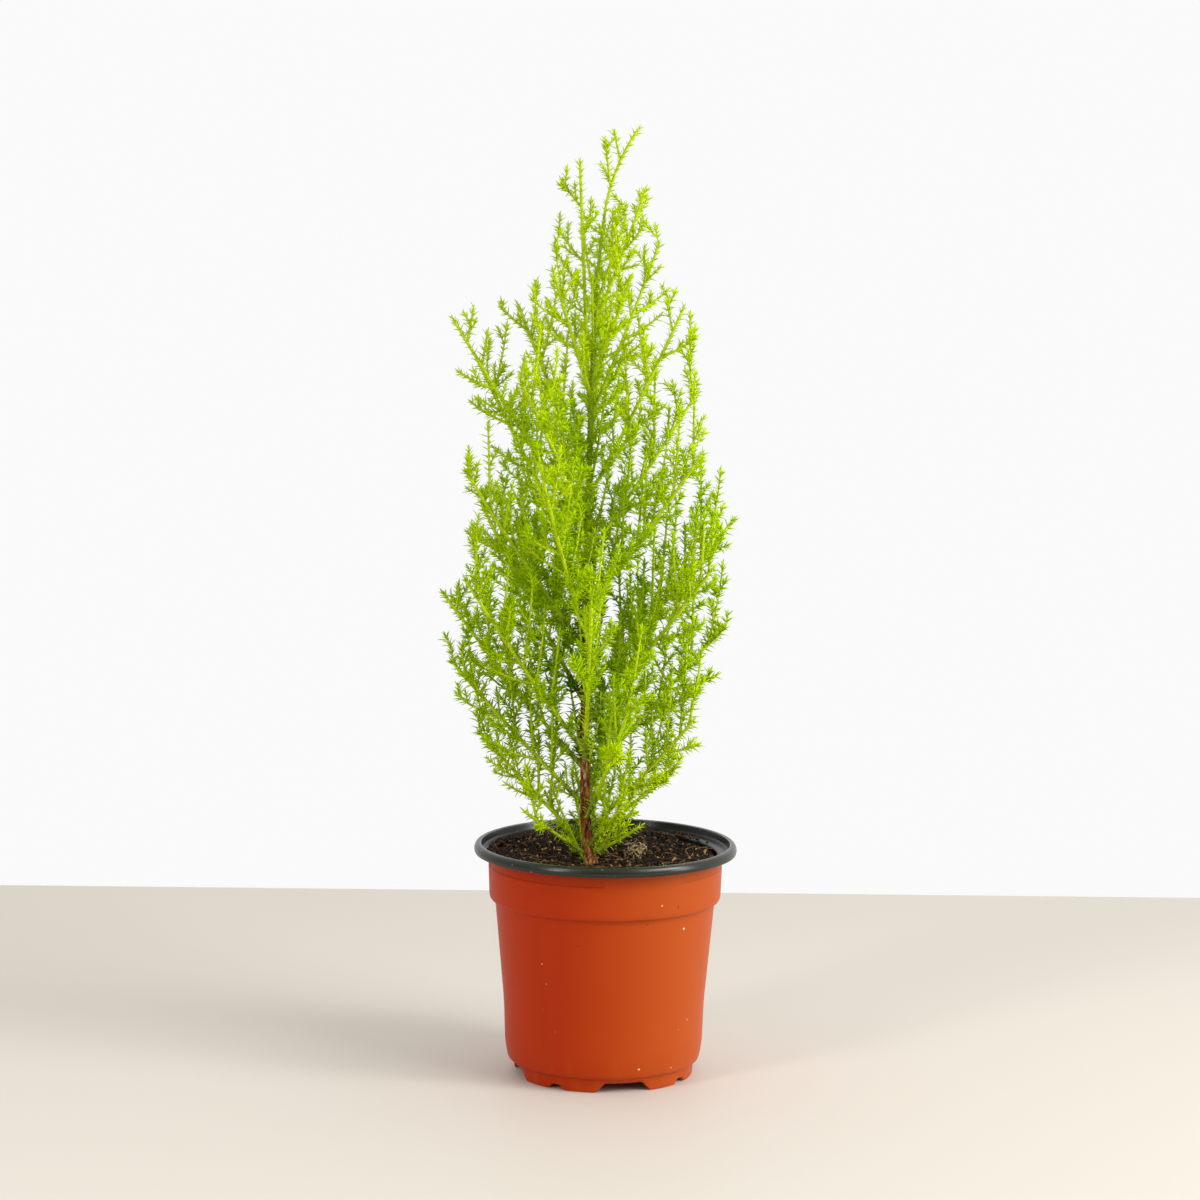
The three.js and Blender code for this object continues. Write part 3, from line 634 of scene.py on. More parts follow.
def strewing_tree():
    """Strews copies of a lump over a surface, turned and sized at random."""
    grower = Grower("strewing")
    lump, density, where, smallest, largest, tumble, seed, finish = grower.named_inputs(
        Lump="Object", Density="Float", Where="String", Smallest="Float", Largest="Float", Tumble="Float",
        Seed="Int", Finish="Material")
    local = grower.maths("MULTIPLY", density, grower.column(where))
    spots = grower.node("GeometryNodeDistributePointsOnFaces", {"distribute_method": "RANDOM"},
                        Mesh=grower.source.outputs[0], Density=local, Seed=seed)
    back = grower.maths("MULTIPLY", tumble, -1.0)
    least = grower.node("ShaderNodeCombineXYZ", X=back, Y=back, Z=0.0)
    most = grower.node("ShaderNodeCombineXYZ", X=tumble, Y=tumble, Z=2 * math.pi)
    turn = grower.node("FunctionNodeRandomValue", {"data_type": "FLOAT_VECTOR"}, Min=least, Max=most,
                       Seed=seed)
    strewn = grower.node("GeometryNodeInstanceOnPoints", Points=spots, Instance=grower.shape_of(lump),
                         Rotation=turn, Scale=grower.drawn(smallest, largest, seed))
    grower.end(strewn, finish)
    return grower


def lump_shape(name, stretch, seed, unevenness=0.3, fineness=1):
    """A small rough lump about 1 mm across, of a few dozen faces."""
    bpy.ops.mesh.primitive_ico_sphere_add(subdivisions=fineness, radius=0.5 * MM)
    lump = bpy.context.object
    lump.name = name
    for i, vertex in enumerate(lump.data.vertices):
        push = 1 + unevenness * noise.noise(vertex.co * 1600 + Vector((seed, i, 0)))
        vertex.co = Vector([c * s * push for c, s in zip(vertex.co, stretch)])
    return lump


def fibre_shape(name, length, width, bend):
    """A thin curved fibre that lies along X, three-sided."""
    steps = FIBRE_STEPS
    points = []
    faces = []
    for i in range(steps + 1):
        share = i / steps
        x = (share - 0.5) * length
        y = bend * length * math.sin(2.2 * math.pi * share)
        z = 0.25 * width + 0.07 * length * math.sin(math.pi * share)
        thick = width * (0.35 + 0.65 * math.sin(math.pi * min(max(share, 0.08), 0.92)))
        for k in range(3):
            angle = 2 * math.pi * k / 3
            side, up = thick / 2 * math.cos(angle), thick / 2 * math.sin(angle)
            points.append(scaled((x, y + side, z + up)))
    for i in range(steps):
        for k in range(3):
            j = (k + 1) % 3
            faces.append((3 * i + k, 3 * i + j, 3 * i + 3 + j, 3 * i + 3 + k))
    faces += [(2, 1, 0), (3 * steps, 3 * steps + 1, 3 * steps + 2)]
    return mesh_piece(name, points, faces, None)


def crumb_finish(name, dark, light):
    finish = Finish(name, roughness=0.85, specular=0.25)
    grain = finish.clouds(CRUMB_GRAIN, detail=3)
    finish.set(Base_Color=finish.blend(grain.stepped(0.35, 0.68), dark, light))
    finish.relief(finish.clouds(2600, detail=2), 0.1, 0.5)
    return finish.material


# The ledge's inner and outer edge, radius and height, and the share of crumbs at its outer edge
LEDGE_EDGES = ((54.6, 110.6), (58.4, 111.6))
LEDGE_OUTER_SHARE = 0.35
strewing = strewing_tree()
surface_points, surface_faces = peat_surface(STREWING_RINGS)
surface = bpy.data.meshes.new("peat_top")
surface.from_pydata([scaled(point) for point in surface_points], [], surface_faces)
ledge = bpy.data.meshes.new("ledge_top")
ledge_points = []
for x, y in ring_places(1):
    ledge_points += [scaled((radius * x, radius * y, height)) for radius, height in LEDGE_EDGES]
ledge_corners = [(2 * i, 2 * i + 1, 2 * ((i + 1) % PEAT_COLUMNS) + 1, 2 * ((i + 1) % PEAT_COLUMNS))
                 for i in range(PEAT_COLUMNS)]
ledge.from_pydata(ledge_points, [], ledge_corners)
heaped = ledge.attributes.new("heaped", "FLOAT", "POINT")
for i, (x, y, z) in enumerate(ledge_points):
    toward = toward_heap(x, y) / math.hypot(x, y)
    heaped.data[i].value = smooth((toward + 0.5) / 1.2) * (LEDGE_OUTER_SHARE if i % 2 else 1)
open_share = surface.attributes.new("open_peat", "FLOAT", "POINT")
moss_field = surface.attributes.new("moss_patch", "FLOAT", "POINT")
for i, (x, y, z) in enumerate(surface_points):
    moss = moss_share(x, y)
    clear = smooth((PEAT_RADIUS - 0.4 - math.hypot(x, y)) / 2)
    open_share.data[i].value = clear * (1 - 0.8 * moss)
    moss_field.data[i].value = clear * max(moss - 0.25, 0) / 0.75

LUMPS = {
    "crumb": lump_shape("crumb_shape", (1.1, 0.9, 0.75), 1),
    "clod": lump_shape("clod_shape", (1.15, 0.9, 0.7), 3, 0.5, fineness=2),
    "chip": lump_shape("chip_shape", (1.9, 0.8, 0.4), 2, 0.45),
    "fibre": fibre_shape("fibre_shape", 9, 0.28, 0.11),
    "thatch": fibre_shape("thatch_shape", 5.5, 0.22, 0.16),
}
MOSS_DARK, MOSS_LIGHT = linear(150, 122, 88), linear(212, 186, 150)
THATCH_DARK, THATCH_LIGHT = linear(148, 126, 86), linear(212, 190, 146)
# Each kind: its lump, where it lies, number per square metre, smallest and largest, tumble, two colours
STREWN = {
    "peat_crumbs": ("crumb", "open_peat", 240000, 0.8, 2.6, 3, linear(8, 5, 3), linear(44, 27, 14)),
    "peat_clods": ("clod", "open_peat", 17000, 2.4, 4.8, 3, linear(8, 5, 3), linear(58, 36, 18)),
    "brown_crumbs": ("crumb", "open_peat", 62000, 0.8, 2.3, 3, linear(70, 42, 20), linear(134, 92, 54)),
    "pale_flecks": ("chip", "open_peat", 26000, 0.7, 1.7, 1.6, linear(146, 106, 64), linear(218, 182, 134)),
    "wood_chips": ("chip", "open_peat", 4200, 2, 3.2, 0.9, linear(138, 100, 56), linear(196, 160, 104)),
    "root_fibres": ("fibre", "open_peat", 15000, 0.7, 1.7, 0.3, linear(96, 70, 34), linear(156, 122, 70)),
    "ledge_crumbs": ("crumb", "heaped", 900000, 0.7, 2.2, 3, linear(12, 8, 5), linear(92, 62, 36)),
    "moss_crumbs": ("crumb", "moss_patch", 900000, 0.5, 1.6, 3, MOSS_DARK, MOSS_LIGHT),
    "moss_thatch": ("thatch", "moss_patch", 420000, 0.5, 1.2, 0.9, THATCH_DARK, THATCH_LIGHT),
}
for seed, (name, (kind, where, density, small, large, tumble, dark, light)) in enumerate(STREWN.items()):
    material = crumb_finish(name + "_finish", dark, light)
    ground = ledge if where == "heaped" else surface
    strewn = strewing.grow(name, ground, Lump=LUMPS[kind], Density=float(density), Where=where,
                           Smallest=small, Largest=large, Tumble=float(tumble), Seed=seed + STREWING_SEED,
                           Finish=material)
    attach(strewn, "root")
for lump in LUMPS.values():
    bpy.data.objects.remove(lump)


# Trunk
# One slim woody stem, a little left of the pot's axis, tapering to the leader. Its thin bark is reddish
# brown and comes off in narrow upright flakes that show paler wood; higher up it turns olive.
TRUNK_POINTS = [(-6.6, -3.1, SOIL_LEVEL - 3), (-9.4, -2.2, 119), (-10.9, 0, 206), (-10, 0.4, 300),
                (-7.2, 0, 390), (-3.8, 0, 424)]
TRUNK_SAMPLES = 2000
TRUNK_RADIUS = 2.7
TRUNK_TAPER = 0.72
LEADER_START = 424
PLANT_TOP = 468
ROOT_FLARE = 1.3
FLARE_HEIGHT = 9
TRUNK_SIDES = 40
TRUNK_LEVELS = 330


def spline_point(points, share):
    """A point on the centripetal spline through the points, at a share of its parameter."""
    place = (len(points) - 1) * share
    i = min(int(place), len(points) - 2)
    weight = place - i
    p1, p2 = points[i], points[i + 1]
    p0 = points[i - 1] if i else 2 * p1 - p2
    p3 = points[i + 2] if i + 2 < len(points) else 2 * p2 - p1
    step0, step1, step2 = (math.sqrt(np.linalg.norm(b - a)) for a, b in ((p0, p1), (p1, p2), (p2, p3)))
    slope1 = ((p1 - p0) / step0 - (p2 - p0) / (step0 + step1) + (p2 - p1) / step1) * step1
    slope2 = ((p2 - p1) / step1 - (p3 - p1) / (step1 + step2) + (p3 - p2) / step2) * step1
    cubic = 2 * p1 - 2 * p2 + slope1 + slope2
    square = -3 * p1 + 3 * p2 - 2 * slope1 - slope2
    return p1 + slope1 * weight + square * weight ** 2 + cubic * weight ** 3


trunk_places = [np.array(point, float) for point in TRUNK_POINTS]
trunk_samples = np.array([spline_point(trunk_places, i / TRUNK_SAMPLES) for i in range(TRUNK_SAMPLES + 1)])


def trunk_at(height):
    x = np.interp(height, trunk_samples[:, 2], trunk_samples[:, 0])
    y = np.interp(height, trunk_samples[:, 2], trunk_samples[:, 1])
    return np.array([x, y, height])


def trunk_radius(height):
    share = (height - SOIL_LEVEL) / (LEADER_START - SOIL_LEVEL)
    flare = ROOT_FLARE * math.exp(-(height - SOIL_LEVEL) / FLARE_HEIGHT)
    return TRUNK_RADIUS * (1 - TRUNK_TAPER * share) + flare


def bark_relief(angle, height, seed=0.0):
    """How far the bark stands out, as a share of its usual relief: upright plates with lifted edges."""
    place = Vector((math.cos(angle) * 1.7 + seed, math.sin(angle) * 1.7, height * 0.075))
    plates = noise.fractal(place, 0.9, 2.0, 3)
    strips = noise.noise(Vector((math.cos(angle) * 4.5, math.sin(angle) * 4.5 + seed, height * 0.12)))
    ledge = smooth((plates + 0.06) / 0.14)
    return 0.55 * ledge + 0.5 * strips + 0.35 * noise.fractal(place * 5, 0.8, 2.2, 2)


def tube(centres, radius_at, sides, across):
    """Points and faces of a closed tube along centres in mm; radius_at takes a level and an angle."""
    points = []
    faces = []
    for level, centre in enumerate(centres):
        before = centres[max(level - 1, 0)]
        after = centres[min(level + 1, len(centres) - 1)]
        along = (after - before) / np.linalg.norm(after - before)
        normal = np.cross(across, along)
        normal /= np.linalg.norm(normal)
        binormal = np.cross(along, normal)
        for k in range(sides):
            angle = 2 * math.pi * k / sides
            reach = radius_at(level, angle)
            points.append(centre + reach * (normal * math.cos(angle) + binormal * math.sin(angle)))
    for level in range(len(centres) - 1):
        for k in range(sides):
            j = (k + 1) % sides
            here, there = level * sides, (level + 1) * sides
            faces.append((here + k, here + j, there + j, there + k))
    low, high = len(points), len(points) + 1
    points += [centres[0], centres[-1]]
    last = (len(centres) - 1) * sides
    for k in range(sides):
        j = (k + 1) % sides
        faces.append((low, j, k))
        faces.append((high, last + k, last + j))
    return points, faces


def bark_finish():
    finish = Finish("bark", roughness=0.85, specular=0.25)
    upright = (1, 1, 0.22)
    plates = finish.clouds(640, detail=5, rough=0.7, stretch=upright)
    flakes = finish.clouds(1000, detail=3, stretch=upright)
    peel = finish.clouds(330, detail=3, stretch=(1, 1, 0.35))
    colour = finish.blend(plates.stepped(0.42, 0.58), linear(62, 24, 8), linear(156, 78, 38))
    colour = finish.blend(peel.stepped(0.54, 0.6) * 0.8, colour, linear(176, 138, 58))
    colour = finish.blend(flakes.stepped(0.58, 0.66) * 0.85, colour, linear(212, 170, 122))
    green = (finish.axis("Z") + plates * (24 * MM)).stepped(225 * MM, 275 * MM)
    colour = finish.blend(green, colour, finish.blend(plates, linear(120, 140, 20), linear(170, 194, 36)))
    finish.set(Base_Color=colour)
    finish.relief(plates + flakes * 0.5, 0.4, 0.7)
    return finish.material


bark = bark_finish()
trunk_heights = [lerp(SOIL_LEVEL + 0.02, LEADER_START, i / TRUNK_LEVELS) for i in range(TRUNK_LEVELS + 1)]
trunk_centres = [trunk_at(height) for height in trunk_heights]


def trunk_skin(level, angle):
    height = trunk_heights[level]
    radius = trunk_radius(height)
    lobes = 0.1 * math.cos(3 * angle) * math.exp(-(height - SOIL_LEVEL) / FLARE_HEIGHT)
    relief = 0.16 * bark_relief(angle, height)
    return radius * (0.9 + lobes + relief * smooth((LEADER_START - height) / 120 + 0.2))


trunk_points, trunk_faces = tube(trunk_centres, trunk_skin, TRUNK_SIDES, np.array([0.0, 1, 0]))
trunk = mesh_piece("trunk_bark", [scaled(point) for point in trunk_points], trunk_faces, bark)
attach(trunk, "root")
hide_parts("trunk")


# Boughs
# Each bough leaves the trunk at a steep angle and turns up on its way out. Their places follow the
# solids' own rule: first the limbs whose tips make the outline, then those to the front and the back.
CROWN_HEIGHTS = [SOIL_LEVEL, 135, 170, 235, 285, 340, 378, 400, 440, PLANT_TOP]
CROWN_REACH = [18, 36, 56, 73, 69, 59, 56, 36, 24, 12]
# Tips of the limbs that make the outline: place across, height, and how far below the limb leaves the trunk
OUTLINE_LIMBS = [(-42, 136, 27), (20, 128, 20), (37, 156, 44), (-65, 170, 56), (44, 183, 62), (-78, 208, 74),
                 (-83, 240, 88), (58, 224, 76), (-70, 253, 92), (52, 259, 84), (63, 278, 86),
                 (-65, 281, 96), (-71, 304, 92), (46, 314, 82), (45, 340, 82), (-66, 355, 104),
                 (-78, 376, 104), (36, 384, 98), (-47, 381, 84), (24, 412, 86), (-29, 402, 66),
                 (17, 440, 70), (-16, 452, 132)]
LIMB_SEED = 20
DEPTH_LIMBS = 12
DEPTH_LOWEST = 142
DEPTH_HIGHEST = 424
DEPTH_SPREAD = 0.75
DEPTH_RISE = 24
LIMB_SPACE = 4.2
LIFTS = [0, 4, 8, 12, 16]
TURNS = [0, 0.15, -0.15, 0.3, -0.3, 0.45, -0.45, 0.6, -0.6]
GOLDEN_SHARE = 0.618
GOLDEN_ANGLE = math.radians(137.5)
BOUGHS_BELOW = 221
BOUGH_LENGTH = 19
BOUGH_SHARE = 0.3
LIMB_RADIUS = 1.5
BEND_SHARES = np.linspace(0, 1, 201)
UP = np.array([0.0, 0, 1])


def seeded(seed):
    """Seeded numbers, the same on every run and the same as the solids' own."""
    state = [seed]

    def draw(low, high):
        state[0] = (state[0] * 1664525 + 1013904223) % 4294967296
        return low + (high - low) * state[0] / 4294967296

    return draw


def crown_reach(height):
    return float(np.interp(height, CROWN_HEIGHTS, CROWN_REACH))


class Bend:
    """A quadratic curve, read at shares of its length. Its table of lengths is made when first needed."""

    def __init__(self, start, middle, end):
        self.start, self.middle, self.end = start, middle, end
        self.table = None

    @property
    def length(self):
        if self.table is None:
            steps = np.linalg.norm(np.diff(self.raw(BEND_SHARES), axis=0), axis=1)
            self.table = np.concatenate([[0], np.cumsum(steps)])
        return self.table[-1]

    def raw(self, shares):
        """Points at shares of the curve's own parameter, which is quicker than by length."""
        t = np.asarray(shares, float)[:, None]
        return (1 - t) ** 2 * self.start + 2 * t * (1 - t) * self.middle + t ** 2 * self.end

    def at(self, shares):
        return self.raw(np.interp(np.asarray(shares, float) * self.length, self.table, BEND_SHARES))

    def along(self, share):
        low, high = max(share - 0.005, 0), min(share + 0.005, 1)
        ends = self.at([low, high])
        return (ends[1] - ends[0]) / np.linalg.norm(ends[1] - ends[0])


def limb_to(tip, rise, lift):
    """A limb to a tip from so far below it on the trunk. The lift moves its root up, clear of others."""
    root = trunk_at(max(tip[2] - rise, SOIL_LEVEL + 4) + lift)
    bend = (root + tip) / 2
    fullness = np.linalg.norm((tip - root)[:2]) / crown_reach(tip[2])
    sag = lerp(0.4, 0.1, min(max(fullness, 0), 1))
    bend[2] = lerp(bend[2], root[2], sag)
    curve = Bend(root, bend, tip)
    first = 3.5 / curve.length
    return {"root": root, "tip": tip, "curve": curve, "line": curve.at(np.linspace(first, 1, 15))}


def line_distance(points, line):
    """The distance of each point from a line of points."""
    starts, legs = line[:-1], np.diff(line, axis=0)
    off = points[:, None] - starts
    share = np.clip((off * legs).sum(2) / (legs * legs).sum(1), 0, 1)
    return np.linalg.norm(off - share[..., None] * legs, axis=2).min(1)


def plan_limbs():
    draw = seeded(LIMB_SEED)
    planned = []

    def place(tries):
        free = [one for one in tries
                if all(line_distance(one["line"], other["line"]).min() > LIMB_SPACE for other in planned)]
        planned.append((free or tries)[0])

    for i, (x, height, rise) in enumerate(OUTLINE_LIMBS):
        axis = trunk_at(height)
        depth = math.sqrt(max(crown_reach(height) ** 2 - (x - axis[0]) ** 2, 30))
        facing = -1 if i % 4 < 2 else 1
        tip = np.array([x, axis[1] + facing * depth, height], float)
        place([limb_to(tip, rise, lift) for lift in LIFTS])
    for i in range(DEPTH_LIMBS):
        height = lerp(DEPTH_LOWEST, DEPTH_HIGHEST, i / (DEPTH_LIMBS - 1))
        reach = crown_reach(height) * draw(0.86, 0.98)
        angle = (0 if i % 2 else math.pi) + lerp(-DEPTH_SPREAD, DEPTH_SPREAD, (i * GOLDEN_SHARE) % 1)
        axis = trunk_at(height)
        tries = []
        for turn in TURNS:
            tip = axis + reach * np.array([math.sin(angle + turn), math.cos(angle + turn), 0])
            tries += [limb_to(tip, DEPTH_RISE + 0.95 * reach, lift) for lift in LIFTS]
        place(tries)
    return sorted(planned, key=lambda limb: limb["root"][2])


def across_of(curve):
    """The direction that stays across a bent curve all along it."""
    first, last = curve.along(0), curve.along(1)
    across = np.cross(first, last)
    if np.linalg.norm(across) < 0.02:
        across = np.cross(first, UP if abs(first[2]) < 0.9 else np.array([1.0, 0, 0]))
    return across / np.linalg.norm(across)


limbs = plan_limbs()
for limb in limbs:
    limb["across"] = across_of(limb["curve"])
    limb["length"] = limb["curve"].length
    limb["has_bough"] = limb["root"][2] < BOUGHS_BELOW
    limb["split"] = min(BOUGH_LENGTH / limb["length"], BOUGH_SHARE) if limb["has_bough"] else 0
    limb["thick"] = LIMB_RADIUS * min(1, lerp(0.7, 1, limb["length"] / 130))


def bough_finish():
    finish = Finish("bough_bark", roughness=0.8, specular=0.3)
    grain = finish.clouds(700, detail=4, stretch=(1, 1, 0.4))
    colour = finish.blend(grain.stepped(0.35, 0.65), linear(96, 110, 26), linear(158, 178, 50))
    finish.set(Base_Color=colour)
    finish.relief(grain, 0.25, 0.6)
    return finish.material


bough_points = []
bough_faces = []
BOUGH_SIDES = 12
BOUGH_LEVELS = 18
BARK_SHARES = (0.92, 0.72)
with_boughs = [limb for limb in limbs if limb["has_bough"]]
for number, limb in enumerate(with_boughs):
    centres = limb["curve"].at(np.linspace(0, limb["split"] * 1.02, BOUGH_LEVELS + 1))

    def bough_skin(level, angle):
        taper = lerp(*BARK_SHARES, level / BOUGH_LEVELS)
        return limb["thick"] * taper * (1 + 0.1 * bark_relief(angle, level * 1.5, number * 3.7))

    points, faces = tube(list(centres), bough_skin, BOUGH_SIDES, limb["across"])
    shift = len(bough_points)
    bough_points += points
    bough_faces += [tuple(corner + shift for corner in face) for face in faces]
boughs = mesh_piece("bough_wood", [scaled(point) for point in bough_points], bough_faces, bough_finish())
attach(boughs, "root")
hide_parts(*[f"bough_{i + 1:02d}" for i in range(len(with_boughs))])


# Shoots
# The solids' own twigs, worked out again, and finer ones carried on from them. Each limb bears twigs one
# after another, turned on by the golden angle and shorter towards its tip, and each twig bears side shoots.
GAP = 0.3
CROWN_MARGIN = 3
ROOM_MARGIN = 0.6
SOIL_CLEAR = 2.5
TWIG_RADIUS = 0.75
TWIG_LENGTH = 38
TWIG_STEP = 13.5
TWIG_SPREAD = math.radians(44)
TWIG_RISE = 0.35
SIDE_TURN = 2.1
SHORTEST_TWIG = 10
LEADER_LEAN = 0.5
LEADER_REACH = 14.4
STEM_TIP = 0.8
STEM_SHARE = 0.72
TWIG_WOOD = (0.75, 0.5)
SIDE_WOOD = (0.55, 0.4)
TUFT_REACH = 4
# No finer shoot comes further to the front than this, which keeps their needles inside the solids' box
CROWN_FRONT = -65
# The finer shoots of each kind: first one and steps along its parent, length at its foot and at its tip and
# the least distance they keep from other shoots, all in mm, and their spread in degrees and rise
BETWEEN_SHOOTS = {"first": 4, "step": 6, "lengths": (32, 13), "keep": 7, "spread": 32, "rise": 0.5}
UPRIGHT_SHOOTS = {"first": 6, "step": 6, "lengths": (50, 38), "keep": 7}
SIDE_SHOOTS = {"first": 4, "step": 4.6, "lengths": (14, 8), "keep": 4.8, "spread": 42, "rise": 0.4}
SPRIG_SHOOTS = {"first": 4, "step": 4.5, "lengths": (7, 5), "keep": 3.9, "spread": 42, "rise": 0.3}
BOUGH_SHOOTS = {"first": 3, "step": 6, "lengths": (16, 20), "keep": 6, "spread": 36, "rise": 0.5}
TRUNK_SHOOTS = {"first": 56, "step": 5, "lengths": (54, 44), "keep": 7}
# How far chance turns a shoot on or back, and what it multiplies each other measure by
TURN_DRAW = (-0.35, 0.35)
STEP_DRAW = (0.75, 1.25)
FIRST_DRAW = (0.6, 1.4)
LENGTH_DRAW = (0.6, 1.15)
UPRIGHT_LENGTH_DRAW = (0.7, 1.15)
LEAN_DRAW = (0.5, 1.4)
# Where each shoot is tried: turned off to the sides, and cut back
TURNED_OFF = (0, 1.3, -1.3, 2.6, -2.6)
CUT_BACK = (1, 0.6)
# How near the finer shoots may come to the crown's edge and the peat, and how often one's place is held
# for the next ones and tested against the others, in mm
FINE_MARGIN = 0.5
FINE_CLEAR = 4
HELD_EVERY = 3
TESTED_EVERY = 20
CELL = 9
BARE_BOUGH = 0.03
BOUGH_OVERLAP = 1.1
BOUGH_TAPER = 0.8
UPRIGHT_LEAN = math.radians(15)
UPRIGHT_RISE = 0.6
UPRIGHTS_BELOW = 392
UPRIGHTS_END = 0.92
TIP_RISE = 5
SLENDER = 0.55
SPRIG_BEARING = 9
SPRIGS_BELOW = 280
UPPER_TRUNK = 0.45
FOOT_HEIGHT = 45
FOOT_SHARE = 0.6
# Seeds of the draws. A limb's or a twig's own number is added to the last four.
TRUNK_SEED = 77
SOLID_SEED = 100
FINER_SEED = 300
TONE_SEED = 500
SIDE_SEED = 1000
# What brightens a shoot: its place towards the crown's outside, its height, its nearness to the peat, and
# chance. The darkest tone is 0, and each step that its light stands above makes it one tone brighter. The
# yellower outside and top are partly the young growth's own colour and partly painted light, the deeper green
# inside is partly painted shade, and the brighter tones near the peat are painted light.
DEPTH_LIGHT = 0.6
HEIGHT_LIGHT = 0.4
FOOT_LIGHT = 1.1
CHANCE_LIGHT = 0.26
TONE_STEPS = (0.36, 0.58, 0.92)
# The bough and upper trunk shoots take a brighter tone than their place gives, painted light on wood that
# stands in shade
WOODY_TONE = 2
# Shoots that stand up from the stem's foot: degrees from the front, lean and length
FOOT_SHOOTS = [(-74, 28, 48), (-90, 8, 34), (-110, 40, 40), (92, 36, 52), (58, 20, 22), (118, 20, 42),
               (-150, 26, 40)]
# From the front the stem shows bare up to this height, between the shoots on its two sides, in mm
BARE_STEM_TOP = 194
BARE_STEM_HALF = 6.5
# How many times further apart the shoots stand at these heights, in mm
SPARSE_HEIGHTS = [130, 230, 290, 350]
SPARSENESS = [1.16, 1.1, 1.06, 1.16]


def hides_stem(curve):
    """Whether a shoot hangs in front of the stem where it shows bare."""
    for point in curve.raw([0.3, 0.5, 0.7, 0.85, 1]):
        axis = trunk_at(point[2])
        if point[2] < BARE_STEM_TOP and point[1] < axis[1] and abs(point[0] - axis[0]) < BARE_STEM_HALF:
            return True
    return False


def height_share(height):
    """0 at the peat and 1 at the plant's top."""
    return (height - SOIL_LEVEL) / (PLANT_TOP - SOIL_LEVEL)


def from_axis(point):
    axis = trunk_at(point[2])
    return math.hypot(point[0] - axis[0], point[1] - axis[1])


def stretch(curve, start, end):
    """The part of a curve between two shares of its length, as a curve of its own."""
    first, middle, last = curve.at([start, (start + end) / 2, end])
    return Bend(first, 2 * middle - (first + last) / 2, last)


def in_crown(points, room, margin=CROWN_MARGIN, clear=SOIL_CLEAR + TWIG_RADIUS):
    """Whether the points stay inside the crown, above the peat and clear of the trunk. The room is how far
    out the limb's own tip may carry them, and up to what height."""
    for point in points:
        away = from_axis(point)
        own_reach = room[0] if point[2] < room[1] else 0
        if point[2] > PLANT_TOP or point[2] < SOIL_LEVEL + clear:
            return False
        if away > max(crown_reach(point[2]), own_reach) + margin:
            return False
        if point[2] < LEADER_START and away < trunk_radius(point[2]) + TWIG_RADIUS + GAP:
            return False
    return True


def in_room(points, owner):
    """Whether the points keep to the room that is nearer to their own limb than to any other."""
    if not in_crown(points, (owner["room"][0], PLANT_TOP)):
        return False
    own = line_distance(points, owner["stem_line"])
    for other in bearers:
        if other is not owner and (line_distance(points, other["stem_line"]) <= own + ROOM_MARGIN).any():
            return False
    free = LIMB_RADIUS + TWIG_RADIUS + GAP
    return all((line_distance(points, limb["bough_line"]) > free).all() for limb in with_boughs)


def heading_out(forward, across, turn, spread):
    normal = np.cross(across, forward)
    normal /= np.linalg.norm(normal)
    return forward * math.cos(spread) + math.sin(spread) * (normal * math.cos(turn) + across * math.sin(turn))


def shoot(root, heading, reach, rise):
    """A short bent shoot that turns up towards its tip."""
    lift = heading * (1 - rise) + UP * rise
    lift /= np.linalg.norm(lift)
    bend = root + heading * reach * 0.5
    return Bend(root, bend, bend + lift * reach * 0.5)


def solid_twigs(bearer, draw):
    """The twigs that the solids of a limb bear, by the same draws: the first of the tries that has room."""
    stem = bearer["stem"]
    turn = draw(0, 2 * math.pi)
    along = TWIG_STEP
    while along < stem.length - TWIG_STEP:
        share = along / stem.length
        root, forward = stem.at([share])[0], stem.along(share)
        turn += GOLDEN_ANGLE + draw(-0.3, 0.3)
        longest = TWIG_LENGTH * (1 - 0.55 * share) * draw(0.8, 1.1)
        along += TWIG_STEP
        sides = (turn, turn + SIDE_TURN, turn - SIDE_TURN)
        for reach, side in ((longest * part, side) for part in (1, 0.75, 0.5) for side in sides):
            if reach <= SHORTEST_TWIG:
                continue
            twig = shoot(root, heading_out(forward, bearer["across"], side, TWIG_SPREAD), reach, TWIG_RISE)
            if in_room(twig.at(np.linspace(0, 1, 7)[2:]), bearer):
                yield twig
                break


class Grown:
    """The places of the shoots grown so far, in the cells of a grid. The next ones keep away from them."""

    def __init__(self):
        self.cells = {}

    def add(self, curve):
        for place in curve.at(np.linspace(0.25, 1, max(2, int(curve.length / HELD_EVERY)))):
            self.cells.setdefault(tuple((place // CELL).astype(int)), []).append(place)

    def nearest(self, curve):
        """How near the outer part of a shoot comes to any other, up to a cell's width."""
        found = CELL
        reach = np.linalg.norm(curve.end - curve.start)
        for place in curve.raw(np.linspace(1, 0.4, 1 + int(reach / TESTED_EVERY))):
            x, y, z = (place // CELL).astype(int)
            near = [other for i in (-1, 0, 1) for j in (-1, 0, 1) for k in (-1, 0, 1)
                    for other in self.cells.get((x + i, y + j, z + k), ())]
            if near:
                found = min(found, np.linalg.norm(np.array(near) - place, axis=1).min())
        return found


grown = Grown()


def roomiest(tries, room, keep):
    """Of the tries that stay in the crown and off the bare stem, the one furthest from all other shoots."""
    fit = [one for one in tries
           if in_crown(one.raw([0.5, 0.75, 1]), room, FINE_MARGIN, FINE_CLEAR)
           and one.end[1] > CROWN_FRONT and not hides_stem(one)]
    free = [grown.nearest(one) for one in fit]
    if not fit or max(free) < keep * np.interp(fit[0].end[2], SPARSE_HEIGHTS, SPARSENESS):
        return None
    best = fit[free.index(max(free))]
    grown.add(best)
    return best


def first_fit(root, headings, length, rise, room, keep):
    """The roomiest of the shoots with these headings, or else of those cut back."""
    for part in CUT_BACK:
        made = roomiest([shoot(root, heading, length * part, rise) for heading in headings], room, keep)
        if made:
            yield made
            return


